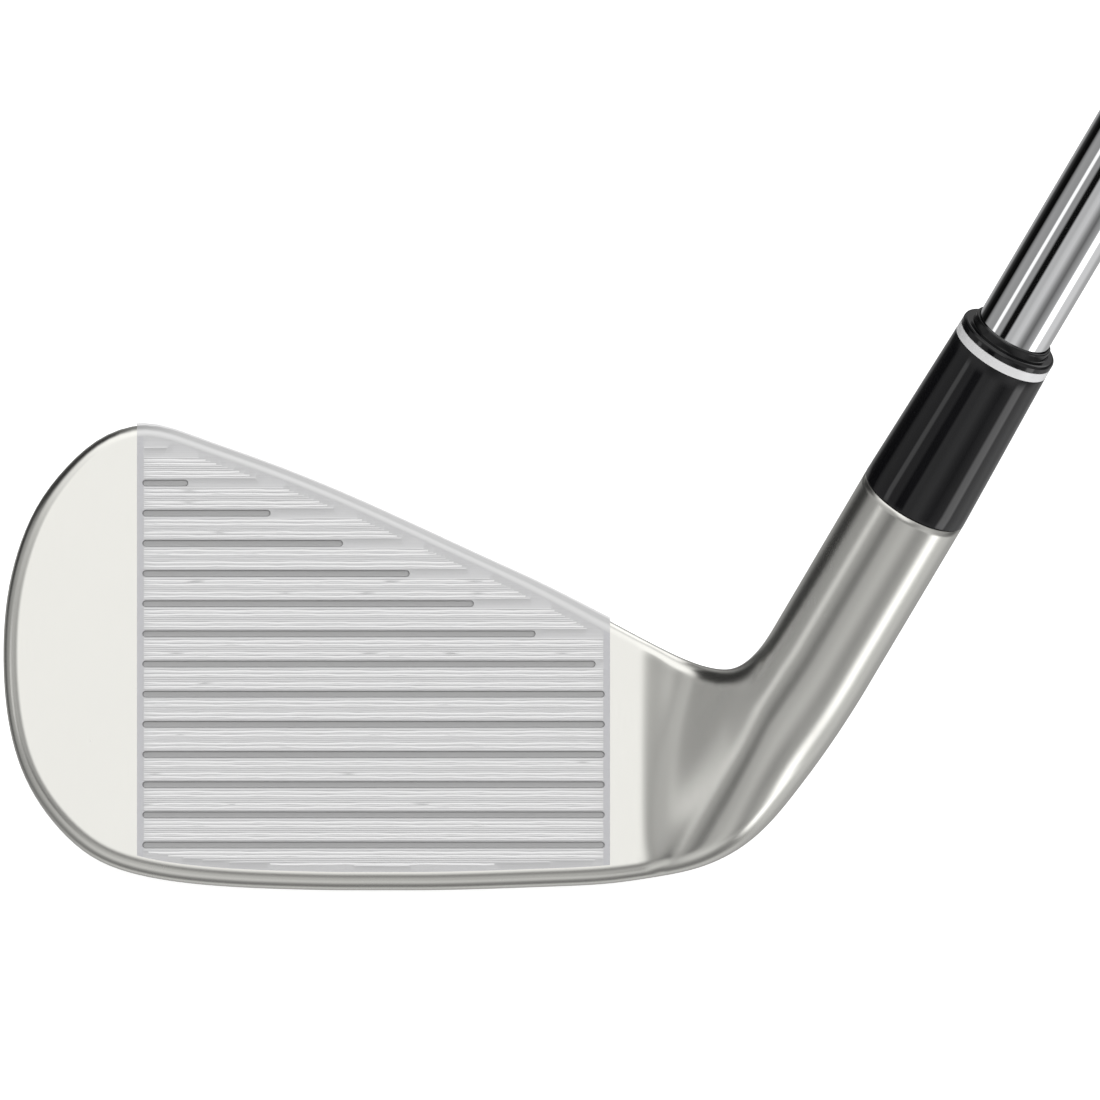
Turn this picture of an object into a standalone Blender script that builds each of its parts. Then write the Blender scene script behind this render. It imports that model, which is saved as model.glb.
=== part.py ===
"""A right-handed mid iron: forged cavity-back head, ferrule, stepped steel shaft and rubber grip.

The club stands at address. X runs from toe to heel, Y away from the player's target side
(the back of the head), Z up. The origin is the sole's ground contact under the score lines.
Lengths below are millimetres; meshes are written in metres.
"""

import math

import bmesh
import bpy
import numpy as np

MM = 0.001

# Angles of the club.
LOFT = math.radians(24.0)
LIE = math.radians(61.7)

# Face outline in the plane of the face: U towards the heel, V up the face.
UPPER_OUTLINE = (
    (54.2, 39.9), (51.16, 34.79), (48.12, 29.63), (46.0, 26.9), (43.6, 25.42), (41.2, 25.45),
    (38.5, 26.25), (34.1, 28.3), (28.0, 31.55), (19.3, 36.2), (10.5, 40.35), (-1.2, 45.7),
    (-12.8, 50.4), (-21.6, 53.5), (-28.1, 54.95), (-33.2, 53.35), (-37.2, 50.0), (-40.5, 45.8),
    (-43.0, 40.4), (-44.6, 33.6),
)
LOWER_OUTLINE = (
    (-45.0, 27.2), (-44.4, 19.1), (-42.4, 12.2), (-39.0, 6.8), (-33.8, 2.25), (-27.4, 0.05),
    (-20.0, -0.95), (-10.0, -1.45), (0.0, -1.6), (12.0, -1.45), (22.2, -1.1), (28.5, -0.75),
    (34.0, 0.0), (39.7, 1.25), (45.5, 4.25), (51.3, 10.4), (55.6, 16.3), (59.75, 22.78),
    (62.79, 27.94), (65.8, 33.1),
)
SOLE_LOW = -1.57
TOE_PIVOT = (-20.0, 24.0)
HEEL_PIVOT = (41.9, 33.3)
SPINE_HEEL_V = 13.6
SPINE_BEND_U = 12.0

# Neck and hosel: axis through NECK_BASE (U, V, W), W standing out of the face.
NECK_BASE = np.array((37.4, -1.85, -6.58))
NECK_RADIUS = 6.68
HOSEL_RADIUS = 6.78
HOSEL_TOP = 59.5
BLEND_START_U = 32.3
BLEND_RADIUS = 8.6
BLEND_ANGLE = math.radians(36.5)
BLEND_SOFTNESS = 1.4

# Edges of the blade.
TOPLINE_ROUND = 1.3
TOE_ROUND = 1.9
LEADING_EDGE_ROUND = 2.25
CROTCH_ROUND = 4.5
TOPLINE_DEPTH = 6.5
CROTCH_DEPTH = 9.0
SOLE_DEPTH = 17.5
HEEL_DEPTH = 13.0
BACK_ROUND = 1.3
PAD_START = 8.3
PAD_END = 9.6
BEVEL_ANGLE = math.radians(6.0)
TRAILING_ANGLE = math.radians(38.0)

# Cavity in the back of the head.
CAVITY_FLOOR = 4.2
CAVITY_RIM_TOP = 3.6
CAVITY_RIM_SOLE = 17.0
CAVITY_LIP_SOLE = 14.0
CAVITY_WALL_TOP = 2.6
CAVITY_WALL_SOLE = 5.0
HEEL_RIM = 7.0
HEEL_WALL = 3.5
HEEL_WALL_TOP = 5.0
HEEL_SPINE_DEPTH = 9.5
NECK_EDGE_DEPTH = 5.0
CAVITY_HEEL_START = 17.0
CAVITY_HEEL_END = 28.0

# Face plate and score lines.
PLATE_HALF = 28.6
PLATE_THICKNESS = 2.3
PLATE_GAP = 0.15
PLATE_FLOOR_GAP = 0.3
PLATE_BOTTOM_MARGIN = 2.6
PLATE_TOP_MARGIN = 1.6
GROOVE_COUNT = 13
GROOVE_FIRST_V = 3.96
GROOVE_PITCH = 3.665
GROOVE_WIDTH = 0.85
GROOVE_DEPTH = 0.45
GROOVE_REACH = 28.1
GROOVE_TOP_CLEARANCE = 6.3

# Toe weight, badge and damper in the back.
WEIGHT_U, WEIGHT_V = -24.0, 11.2
WEIGHT_RADIUS = 3.6
WEIGHT_LENGTH = 10.0
WEIGHT_BORE = (4.9, 19.0)
WEIGHT_SEAT_GAP = 0.3
WEIGHT_SIDE_GAP = 0.05
BADGE_U = (-30.0, 12.0)
BADGE_V = 23.6
BADGE_TOP_DROP = 10.2
BADGE_TAPE = (4.3, 4.55)
BADGE_PLATE = (4.6, 5.9)
BADGE_TAPE_INSET = 0.6
BADGE_TOE_U = -19.0
DAMPER_U = (-18.0, 11.0)
DAMPER_V = (21.0, 23.2)
DAMPER_W = (4.5, 8.4)

# Shaft line, measured along the axis from the ground point of the neck.
SHAFT_TIP = 27.0
BORE_BOTTOM = 26.0
SHAFT_BUTT = 963.0
TIP_RADIUS = 4.51
FERRULE_EXIT_RADIUS = 4.7
TIP_PARALLEL_RADIUS = 4.78
BUTT_RADIUS = 7.62
FIRST_STEP = 284.0
STEP_PITCH = 34.0
STEP_COUNT = 12
STEP_RAMP = 1.6
TIP_WALL = 0.75
BUTT_WALL = 0.37
TIP_CHAMFER = 0.4
BOND_GAP = 0.05
BOND_THICKNESS = 0.16
PLUG_START = SHAFT_TIP + 0.5
PLUG_LENGTH = 8.5
PLUG_GAP = 0.08
FERRULE_GAP = 0.05
FERRULE_BASE = HOSEL_TOP + 0.1
FERRULE_TOP = HOSEL_TOP + 25.4
BARREL_LENGTH = 21.9
RING_LENGTH = 1.2
CAP_LENGTH = 2.0
CAP_LIP = 0.95
CAP_EDGE = 0.14
COLLAR_WALL = 0.32
FERRULE_BASE_RADIUS = 6.8
FERRULE_TOP_RADIUS = 6.12
GRIP_MOUTH = 698.0
GRIP_END = 965.0
GRIP_MOUTH_RADIUS = 8.9
GRIP_BUTT_RADIUS = 13.25
GRIP_SWELL = ((0.0, -0.5), (0.6, 0.0), (70.0, 1.25), (150.0, 2.65), (215.0, 3.7), (250.0, 4.1))
GRIP_CAP_LENGTH = 5.0
CAP_ROUND = 1.6
GRIP_GAP = 0.1
VENT_RADIUS = 1.3
GRIP_TAPE_THICKNESS = 0.18
GRIP_TAPE_START = GRIP_MOUTH + 4.0
GRIP_TAPE_END = GRIP_END - 8.0
LABEL_STEP = 9
LABEL_MARGIN = 3.5
LABEL_THICKNESS = 0.12
ROUND_SEGMENTS = 48
SMALL_ROUND_SEGMENTS = 32
SHARP_ANGLE = math.radians(35.0)

SIN_LOFT, COS_LOFT = math.sin(LOFT), math.cos(LOFT)
AXIS = np.array((math.cos(LIE), math.sin(LIE) * COS_LOFT, math.sin(LIE) * SIN_LOFT))
AXIS_FLAT = AXIS[:2] / np.linalg.norm(AXIS[:2])
ACROSS = np.array((AXIS_FLAT[1], -AXIS_FLAT[0], 0.0))
FORWARD = np.cross(ACROSS, AXIS)
AXIS_SHARE = float(np.linalg.norm(AXIS[:2]))


def smooth(x, start, end):
    """0 before start, 1 after end, and an S-curve between them."""
    t = np.clip((np.asarray(x, float) - start) / (end - start), 0.0, 1.0)
    return t * t * (3.0 - 2.0 * t)


def mix(a, b, share):
    return a + (b - a) * share


def spline(points, count):
    """Natural cubic spline through the points, sampled evenly along its chord."""
    pts = np.array(points, float)
    chord = np.concatenate(([0.0], np.cumsum(np.linalg.norm(np.diff(pts, axis=0), axis=1))))
    h = np.diff(chord)
    n = len(pts)
    system = np.eye(n)
    target = np.zeros((n, 2))
    for i in range(1, n - 1):
        system[i, i - 1:i + 2] = h[i - 1], 2.0 * (h[i - 1] + h[i]), h[i]
        target[i] = 6.0 * ((pts[i + 1] - pts[i]) / h[i] - (pts[i] - pts[i - 1]) / h[i - 1])
    bend = np.linalg.solve(system, target)
    s = np.linspace(0.0, chord[-1], count)
    k = np.clip(np.searchsorted(chord, s, side="right") - 1, 0, n - 2)
    a = ((chord[k + 1] - s) / h[k])[:, None]
    b = 1.0 - a
    bow = ((a ** 3 - a) * bend[k] + (b ** 3 - b) * bend[k + 1]) * (h[k] ** 2)[:, None] / 6.0
    return a * pts[k] + b * pts[k + 1] + bow


OUTLINE = spline(UPPER_OUTLINE + LOWER_OUTLINE, 4000)
TOE_INDEX = int(np.argmin(OUTLINE[:, 0]))
UPPER = OUTLINE[:TOE_INDEX + 1]
LOWER = OUTLINE[TOE_INDEX:]


def branch_v(branch, u):
    """Height and stretch (1 / cosine of the slope) of a branch of the outline at u."""
    order = np.argsort(branch[:, 0])
    us, vs = branch[order, 0], branch[order, 1]
    slope = (np.interp(u + 0.3, us, vs) - np.interp(u - 0.3, us, vs)) / 0.6
    return float(np.interp(u, us, vs)), math.hypot(1.0, slope)


BLADE_TOP = UPPER[UPPER[:, 0] < HEEL_PIVOT[0] + 1.1]
BLADE_SOLE = LOWER[LOWER[:, 0] < HEEL_PIVOT[0] + 8.1]


def top_v(u):
    return branch_v(BLADE_TOP, u)[0]


def sole_v(u):
    return max(branch_v(BLADE_SOLE, u)[0], SOLE_LOW)


def polar_edge(branch, pivot, angle):
    """Distance and stretch of the branch from the pivot; angle is counted from straight down."""
    offset = branch - np.array(pivot)
    angles = np.arctan2(offset[:, 0], -offset[:, 1])
    reach = np.linalg.norm(offset, axis=1)
    order = np.argsort(angles)
    near = np.interp((angle - 0.01, angle, angle + 0.01), angles[order], reach[order])
    turn = (near[2] - near[0]) / 0.02
    return float(near[1]), math.hypot(1.0, turn / near[1])


def neck_offset(u, v):
    """Distance right of the projected neck axis, and distance along the axis."""
    du, dv = u - NECK_BASE[0], v - NECK_BASE[1]
    return du * ACROSS[0] + dv * ACROSS[1], (du * AXIS_FLAT[0] + dv * AXIS_FLAT[1]) / AXIS_SHARE


def neck_radius(t):
    return NECK_RADIUS + (HOSEL_RADIUS - NECK_RADIUS) * np.clip(t / HOSEL_TOP, 0.0, 1.0)


def front_height(u, v):
    """Height of the front of the head over the plane of the face."""
    across, along = neck_offset(u, v)
    radius = neck_radius(along)
    inside = np.sqrt(np.clip(1.0 - (across / radius) ** 2, 0.0, 1.0))
    beyond = np.clip(np.abs(across) - radius, 0.0, None)
    neck = NECK_BASE[2] + AXIS[2] * along + (radius * inside - 4.0 * beyond) / AXIS_SHARE
    s = np.clip(u - BLEND_START_U, 0.0, None)
    bend = BLEND_RADIUS * math.sin(BLEND_ANGLE)
    arc = BLEND_RADIUS - np.sqrt(BLEND_RADIUS ** 2 - np.minimum(s, bend) ** 2)
    ramp = arc + np.clip(s - bend, 0.0, None) * math.tan(BLEND_ANGLE)
    share = np.clip(0.5 + 0.5 * (ramp - neck) / BLEND_SOFTNESS, 0.0, 1.0)
    joined = mix(neck, ramp, share) + BLEND_SOFTNESS * share * (1.0 - share)
    return mix(joined, neck, smooth(across, -4.0, -1.0))


DEPTHS = np.linspace(0.0, 24.0, 2401)
SLOPES = np.interp(
    DEPTHS,
    (LEADING_EDGE_ROUND, LEADING_EDGE_ROUND + 0.3, PAD_START, PAD_END, SOLE_DEPTH),
    (0.0, BEVEL_ANGLE, LOFT, LOFT, TRAILING_ANGLE),
)
SOLE_RISE = np.concatenate(([0.0], np.cumsum(np.tan(SLOPES))[:-1])) * (DEPTHS[1] - DEPTHS[0])


def sole_rise(depth):
    """How far the sole lies inside the outline at a depth behind the front."""
    return np.interp(depth, DEPTHS, SOLE_RISE)


ORIGIN_V = SOLE_LOW + float(sole_rise(0.5 * (PAD_START + PAD_END)))
ORIGIN_W = -0.5 * (PAD_START + PAD_END)


def to_world(p):
    """Face coordinates (U, V, W) in millimetres to row coordinates in metres."""
    p = np.asarray(p, float)
    v, w = p[..., 1] - ORIGIN_V, p[..., 2] - ORIGIN_W
    y = v * SIN_LOFT - w * COS_LOFT
    z = v * COS_LOFT + w * SIN_LOFT
    return np.stack((p[..., 0], y, z), axis=-1) * MM


# How many points a half section spends on each stretch, from the front of the spine,
# over the edge, to the back of the spine.
FRONT_POINTS = 5
ROUND_POINTS = 4
WALL_POINTS = 3
BACK_ROUND_POINTS = 3
RIM_POINTS = 2
CAVITY_WALL_POINTS = 4
FLOOR_POINTS = 3

# Where round the neck each of those stretches ends.
NECK_MARKS = np.radians((0.0, 62.0, 84.0, 100.0, 116.0, 180.0))


def half_section(spine, edge, stretch, shape, spine_back, morph):
    """Points of half a section in face coordinates.

    shape holds the edge's round radius, depth, tilt share (0 a wall square to the face,
    1 the full sole), rim width, lip depth and width of the wall inside the rim. spine_back
    is W at the back of the spine, and morph blends the section into the round neck.
    """
    radius, depth, tilt, rim, lip, wall = shape
    spine, edge = np.array(spine), np.array(edge)
    length = float(np.linalg.norm(edge - spine))
    inward = (spine - edge) / length
    round_span = radius * stretch
    turn = np.linspace(0.0, 1.0, ROUND_POINTS + 1)[1:] * math.pi / 2.0
    front = np.linspace(length, round_span, FRONT_POINTS)
    rounded = radius * (1.0 - np.sin(turn))
    drop = radius * (1.0 - np.cos(turn))
    pads = np.linspace(radius, depth - BACK_ROUND, WALL_POINTS + 3)[1:]
    pads[1:4] = mix(pads[1:4], np.array((PAD_START, PAD_END, 0.5 * (PAD_END + depth))), tilt)
    pads[0] = mix(pads[0], LEADING_EDGE_ROUND + 1.2, tilt)
    walls = tilt * sole_rise(pads)
    turn = np.linspace(0.0, 1.0, BACK_ROUND_POINTS + 1)[1:] * math.pi / 2.0
    back_depth = depth - BACK_ROUND + BACK_ROUND * np.sin(turn)
    back_in = tilt * sole_rise(back_depth) + BACK_ROUND * (1.0 - np.cos(turn))
    start = back_in[-1]
    rim = max(rim, start + 0.8)
    wall = min(wall, 0.9 * length / stretch - rim)
    rims = np.linspace(start, rim, RIM_POINTS + 1)[1:]
    share = np.linspace(0.0, 1.0, CAVITY_WALL_POINTS + 1)[1:]
    walls_in = rim + wall * share
    floor = np.linspace(rim + wall, length / stretch, FLOOR_POINTS + 1)[1:]
    edge_front = front_height(*edge)
    rim_depth = mix(depth, lip, smooth(rims, start, rim))
    wall_depth = mix(lip, edge_front - spine_back, smooth(share, 0.0, 1.0))
    floor_depth = np.full(FLOOR_POINTS, edge_front - spine_back)
    inset = np.concatenate((front, rounded * stretch, walls * stretch, back_in * stretch,
                            rims * stretch, walls_in * stretch, floor * stretch))
    inset[-1] = length
    below = np.concatenate((np.zeros(FRONT_POINTS), drop, pads, back_depth, rim_depth,
                            wall_depth, floor_depth))
    flat = edge + inset[:, None] * inward
    count = len(inset)
    front_count = FRONT_POINTS + ROUND_POINTS
    over = np.full(count, edge_front)
    over[:front_count] = front_height(flat[:front_count, 0], flat[:front_count, 1])
    box = np.column_stack((flat, over - below))
    if morph == 0.0:
        return box
    return mix(box, neck_half(spine, edge, count), morph)


def neck_angles(count):
    """Angles about the neck axis, from its front, of the points of a half section."""
    ends = np.cumsum((0, FRONT_POINTS - 1, ROUND_POINTS, WALL_POINTS + 2, BACK_ROUND_POINTS))
    return np.interp(np.arange(count), np.append(ends, count - 1), NECK_MARKS)


def neck_half(spine, edge, count):
    """Half of the neck's section, stretched so that it reaches the outline at its edge."""
    angle = neck_angles(count)
    flat = spine + np.sin(angle)[:, None] * (edge - spine)
    across, along = neck_offset(spine[0], spine[1])
    middle = NECK_BASE[2] + AXIS[2] * along
    across, along = neck_offset(edge[0], edge[1])
    outer = NECK_BASE[2] + AXIS[2] * along
    radius = neck_radius(along) / AXIS_SHARE
    w = mix(middle, outer, np.sin(angle)) + radius * np.cos(angle)
    return np.column_stack((flat, w))


def toe_shape(angle, edge):
    """Edge shape around the toe; angle runs from 0 (top) to pi (sole)."""
    low = float(smooth(-edge[1], -24.0, -3.0))
    radius = mix(TOPLINE_ROUND, TOE_ROUND, float(smooth(angle, 0.2, 1.0)))
    radius = mix(radius, LEADING_EDGE_ROUND, float(smooth(angle, 1.9, 2.7)))
    return (radius, mix(TOPLINE_DEPTH, SOLE_DEPTH, low), low,
            mix(CAVITY_RIM_TOP, CAVITY_RIM_SOLE, low), mix(TOPLINE_DEPTH, CAVITY_LIP_SOLE, low),
            mix(CAVITY_WALL_TOP, CAVITY_WALL_SOLE, low))


def upper_shape(heel, neck, edge):
    """Edge shape along the topline and crotch.

    heel runs from 0 on the blade to 1 at the neck, neck from 0 to 1 through the bend.
    """
    depth = mix(mix(TOPLINE_DEPTH, CROTCH_DEPTH, heel), neck_edge_depth(edge), neck)
    return (mix(TOPLINE_ROUND, CROTCH_ROUND, heel), depth, 0.0, CAVITY_RIM_TOP, depth,
            mix(CAVITY_WALL_TOP, HEEL_WALL_TOP, heel))


def lower_shape(heel, neck, edge):
    """Edge shape along the sole and round the heel."""
    blade_depth = mix(SOLE_DEPTH, HEEL_DEPTH, heel)
    lip = mix(CAVITY_LIP_SOLE, HEEL_DEPTH, heel)
    depth = neck_edge_depth(edge)
    return (LEADING_EDGE_ROUND, mix(blade_depth, depth, neck), 1.0 - neck,
            mix(mix(CAVITY_RIM_SOLE, HEEL_RIM, heel), CAVITY_RIM_TOP, neck),
            mix(lip, depth, neck), mix(CAVITY_WALL_SOLE, HEEL_WALL, heel))


def neck_edge_depth(edge):
    """Depth of the edge that ends a little behind the middle of the neck."""
    middle = NECK_BASE[2] + AXIS[2] * neck_offset(*edge)[1]
    return max(front_height(*edge) - middle, 0.0) + NECK_EDGE_DEPTH


BLADE_STATIONS = np.concatenate((
    np.linspace(-20.0, 4.0, 7), np.linspace(8.0, 28.0, 6), np.linspace(30.5, HEEL_PIVOT[0], 7),
))
FAN_STATIONS = 9
NECK_STATIONS = 3
TOE_STATIONS = 18


def head_rings():
    """The rings from the first blade station to the top of the hosel."""
    rings = []
    for u in BLADE_STATIONS:
        v_top, stretch_top = branch_v(BLADE_TOP, u)
        v_low, stretch_low = branch_v(BLADE_SOLE, u)
        v_low = max(v_low, SOLE_LOW)
        sink = float(smooth(u, SPINE_BEND_U, HEEL_PIVOT[0]))
        spine = (u, mix(TOE_PIVOT[1], SPINE_HEEL_V, sink))
        cavity = 1.0 - float(smooth(u, CAVITY_HEEL_START, CAVITY_HEEL_END))
        heel = float(smooth(u, 33.0, 47.0))
        narrow = float(smooth(u, 14.0, 42.0))
        back = -mix(HEEL_SPINE_DEPTH, CAVITY_FLOOR, cavity)
        edge = (u, v_top)
        upper = half_section(spine, edge, stretch_top, upper_shape(heel, 0.0, edge), back, 0.0)
        edge = (u, v_low)
        lower = half_section(spine, edge, stretch_low, lower_shape(narrow, 0.0, edge), back, 0.0)
        rings.append((upper, lower))
    crotch = UPPER[UPPER[:, 0] > 38.0]
    heel_edge = LOWER[LOWER[:, 0] > 36.0]
    last = math.atan2(ACROSS[0], -ACROSS[1])
    for angle in np.linspace(0.0, last, FAN_STATIONS + 1)[1:]:
        direction = np.array((math.sin(angle), -math.cos(angle)))
        inner, stretch_in = polar_edge(crotch, HEEL_PIVOT, angle)
        outer, stretch_out = polar_edge(heel_edge, HEEL_PIVOT, angle)
        pivot = np.array(HEEL_PIVOT)
        spine = pivot + direction * 0.5 * (inner + outer)
        heel = mix(float(smooth(HEEL_PIVOT[0], 33.0, 47.0)), 1.0, float(smooth(angle, 0.0, 0.6)))
        morph = float(smooth(angle, 0.05, 0.85))
        along = neck_offset(*spine)[1]
        neck_back = NECK_BASE[2] + AXIS[2] * along - neck_radius(along) / AXIS_SHARE
        neck = float(smooth(angle, 0.0, 0.6))
        back = mix(-HEEL_SPINE_DEPTH, neck_back, neck)
        edge = pivot + direction * inner
        upper = half_section(spine, edge, stretch_in, upper_shape(heel, neck, edge), back, morph)
        edge = pivot + direction * outer
        lower = half_section(spine, edge, stretch_out, lower_shape(1.0, neck, edge), back, morph)
        rings.append((upper, lower))
    reach = neck_offset(*HEEL_PIVOT)[1]
    angle = neck_angles(len(rings[0][0]))
    lean = AXIS[2] / AXIS_SHARE
    for share in np.linspace(0.0, 1.0, NECK_STATIONS + 1)[1:]:
        t = mix(reach, HOSEL_TOP, share)
        radius = neck_radius(t)
        middle = NECK_BASE + AXIS * t
        halves = []
        for side in (-1.0, 1.0):
            ring = (np.sin(angle)[:, None] * side * ACROSS + np.cos(angle)[:, None] * FORWARD)
            slide = np.cos(angle)[:, None] * AXIS * lean * (1.0 - share)
            halves.append(middle + radius * (ring + slide))
        rings.append(tuple(halves))
    return rings


def toe_halves():
    """Half sections that turn about the toe pivot, from the topline round to the sole."""
    halves = []
    toe = OUTLINE[OUTLINE[:, 0] < TOE_PIVOT[0] + 3.0]
    offset = toe - np.array(TOE_PIVOT)
    turns = np.mod(np.arctan2(-offset[:, 0], offset[:, 1]) + 1.0, 2.0 * math.pi) - 1.0
    reach = np.linalg.norm(offset, axis=1)
    for turn in np.linspace(0.0, math.pi, TOE_STATIONS + 1)[1:-1]:
        near = np.interp((turn - 0.01, turn, turn + 0.01), turns, reach)
        stretch = math.hypot(1.0, (near[2] - near[0]) / 0.02 / near[1])
        edge = np.array(TOE_PIVOT) + near[1] * np.array((-math.sin(turn), math.cos(turn)))
        halves.append(half_section(TOE_PIVOT, edge, stretch, toe_shape(turn, edge),
                                   -CAVITY_FLOOR, 0.0))
    return halves


def add_mesh(name, vertices, faces, material):
    """Link a mesh object made of world-space points in metres."""
    mesh = bpy.data.meshes.new(name)
    mesh.from_pydata([tuple(map(float, v)) for v in vertices], [], faces)
    mesh.validate()
    work = bmesh.new()
    work.from_mesh(mesh)
    bmesh.ops.recalc_face_normals(work, faces=work.faces)
    work.to_mesh(mesh)
    work.free()
    mesh.shade_smooth()
    mesh.set_sharp_from_angle(angle=SHARP_ANGLE)
    mesh.materials.append(material)
    obj = bpy.data.objects.new(name, mesh)
    bpy.context.scene.collection.objects.link(obj)
    return obj


def make_material(name, colour, roughness, metallic):
    material = bpy.data.materials.new(name)
    material.use_nodes = True
    shader = material.node_tree.nodes["Principled BSDF"]
    shader.inputs["Base Color"].default_value = (*colour, 1.0)
    shader.inputs["Roughness"].default_value = roughness
    shader.inputs["Metallic"].default_value = metallic
    return material


def cut(target, cutter):
    """Take the cutter's volume out of the target."""
    modifier = target.modifiers.new("cut_" + cutter.name, "BOOLEAN")
    modifier.operation = "DIFFERENCE"
    modifier.solver = "EXACT"
    modifier.object = cutter
    cutter.hide_render = True
    cutter.display_type = "WIRE"


def make_head(material):
    rings = head_rings()
    halves = toe_halves()
    count = len(rings[0][0])
    vertices = []
    ring_ids = []
    for upper, lower in rings:
        base = len(vertices)
        vertices.extend(upper)
        vertices.extend(lower[1:-1])
        top = list(range(base, base + count))
        low = [top[0]] + list(range(base + count, base + 2 * count - 2)) + [top[-1]]
        ring_ids.append((top, low))
    rows = [ring_ids[0][0]]
    for half in halves:
        base = len(vertices)
        vertices.extend(half[1:-1])
        rows.append([rows[0][0]] + list(range(base, base + count - 2)) + [rows[0][-1]])
    rows.append(ring_ids[0][1])
    faces = []
    for (top_a, low_a), (top_b, low_b) in zip(ring_ids[:-1], ring_ids[1:]):
        for i in range(count - 1):
            faces.append((top_a[i], top_b[i], top_b[i + 1], top_a[i + 1]))
            faces.append((low_a[i], low_a[i + 1], low_b[i + 1], low_b[i]))
    for a, b in zip(rows[:-1], rows[1:]):
        faces.append((a[0], a[1], b[1]))
        for i in range(1, count - 2):
            faces.append((a[i], a[i + 1], b[i + 1], b[i]))
        faces.append((a[-2], a[-1], b[-2]))
    top, low = ring_ids[-1]
    faces.append(tuple(top + low[-2:0:-1]))
    return add_mesh("head_body", to_world(np.array(vertices)), faces, material)


def prism(name, outline, front, back, material):
    """A plate between two depths behind the face, from an outline in the face's plane."""
    n = len(outline)
    points = [(u, v, -front) for u, v in outline] + [(u, v, -back) for u, v in outline]
    faces = [tuple(range(n)), tuple(range(2 * n - 1, n - 1, -1))]
    faces += [(i, (i + 1) % n, n + (i + 1) % n, n + i) for i in range(n)]
    return add_mesh(name, to_world(points), faces, material)


def plate_outline(gap):
    half = PLATE_HALF + gap
    columns = np.linspace(-half, half, 13)
    low = [(u, sole_v(u) + PLATE_BOTTOM_MARGIN - gap) for u in columns]
    high = [(u, top_v(u) - PLATE_TOP_MARGIN + gap) for u in columns[::-1]]
    return low + high


def stadium(left, right, v, half_width, steps=5):
    """Outline of a slot with round ends."""
    turn = np.linspace(-math.pi / 2.0, math.pi / 2.0, steps + 1)
    end = [(right - half_width + half_width * math.cos(a), v + half_width * math.sin(a))
           for a in turn]
    start = [(left + half_width - half_width * math.cos(a), v - half_width * math.sin(a))
             for a in turn]
    return end + start


def groove_right(v):
    """Where a score line stops: at the plate's edge or short of the topline."""
    columns = np.linspace(-GROOVE_REACH, GROOVE_REACH, 200)
    clear = np.array([top_v(u) for u in columns]) - v >= GROOVE_TOP_CLEARANCE
    return float(columns[clear].max())


def make_plate(material):
    plate = prism("face_plate", plate_outline(0.0), 0.0, PLATE_THICKNESS, material)
    points = []
    faces = []
    for i in range(GROOVE_COUNT):
        v = GROOVE_FIRST_V + i * GROOVE_PITCH
        outline = stadium(-GROOVE_REACH, groove_right(v), v, GROOVE_WIDTH / 2.0)
        n, base = len(outline), len(points)
        points += [(a, b, 1.0) for a, b in outline] + [(a, b, -GROOVE_DEPTH) for a, b in outline]
        faces.append(tuple(range(base, base + n)))
        faces.append(tuple(range(base + 2 * n - 1, base + n - 1, -1)))
        faces += [(base + k, base + (k + 1) % n, base + n + (k + 1) % n, base + n + k)
                  for k in range(n)]
    cutter = add_mesh("groove_cutter", to_world(points), faces, material)
    cut(plate, cutter)
    return plate


def disc_outline(u, v, radius, steps):
    return [(u + radius * math.cos(a), v + radius * math.sin(a))
            for a in np.linspace(0.0, 2.0 * math.pi, steps, endpoint=False)]


def badge_outline(inset):
    """Plate in the cavity: level bottom, top parallel to the topline, round toe end."""
    left, right = BADGE_U[0] + inset, BADGE_U[1] - inset
    low = BADGE_V + inset
    top = [(u, top_v(u) - BADGE_TOP_DROP - inset) for u in np.linspace(right, BADGE_TOE_U, 8)]
    toe = [(left + 4.6, top[-1][1] - 2.0), (left + 1.2, top[-1][1] - 6.0)]
    foot = [(left, low + 7.5), (left + 2.2, low + 3.0), (left + 6.5, low)]
    heel = [(right - 2.0, low), (right - 0.5, low + 0.6), (right, low + 2.2)]
    return top + toe + foot + heel


def revolve(name, profile, material, segments=ROUND_SEGMENTS):
    """Turn a closed profile of (distance along the axis, radius) about the shaft axis.

    A profile point with radius 0 becomes one vertex on the axis.
    """
    vertices = []
    rings = []
    for t, radius in profile:
        middle = NECK_BASE + AXIS * t
        if radius == 0.0:
            rings.append([len(vertices)])
            vertices.append(middle)
            continue
        base = len(vertices)
        rings.append(list(range(base, base + segments)))
        for a in np.linspace(0.0, 2.0 * math.pi, segments, endpoint=False):
            vertices.append(middle + radius * (math.cos(a) * FORWARD + math.sin(a) * ACROSS))
    faces = []
    pairs = list(zip(rings, rings[1:] + rings[:1]))
    for a, b in pairs:
        for k in range(segments):
            j = (k + 1) % segments
            if len(a) == 1 and len(b) == 1:
                continue
            if len(a) == 1:
                faces.append((a[0], b[k], b[j]))
            elif len(b) == 1:
                faces.append((a[k], a[j], b[0]))
            else:
                faces.append((a[k], a[j], b[j], b[k]))
    return add_mesh(name, to_world(vertices), faces, material)


def shaft_radius(t):
    """Outer radius of the shaft: taper tip, straight run, then steps up to the butt."""
    if t <= FERRULE_TOP:
        return mix(TIP_RADIUS, FERRULE_EXIT_RADIUS, (t - SHAFT_TIP) / (FERRULE_TOP - SHAFT_TIP))
    if t <= FIRST_STEP:
        share = (t - FERRULE_TOP) / (FIRST_STEP - FERRULE_TOP)
        return mix(FERRULE_EXIT_RADIUS, TIP_PARALLEL_RADIUS, share)
    step = min(int((t - FIRST_STEP) / STEP_PITCH) + 1, STEP_COUNT)
    return mix(TIP_PARALLEL_RADIUS, BUTT_RADIUS, step / STEP_COUNT)


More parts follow.
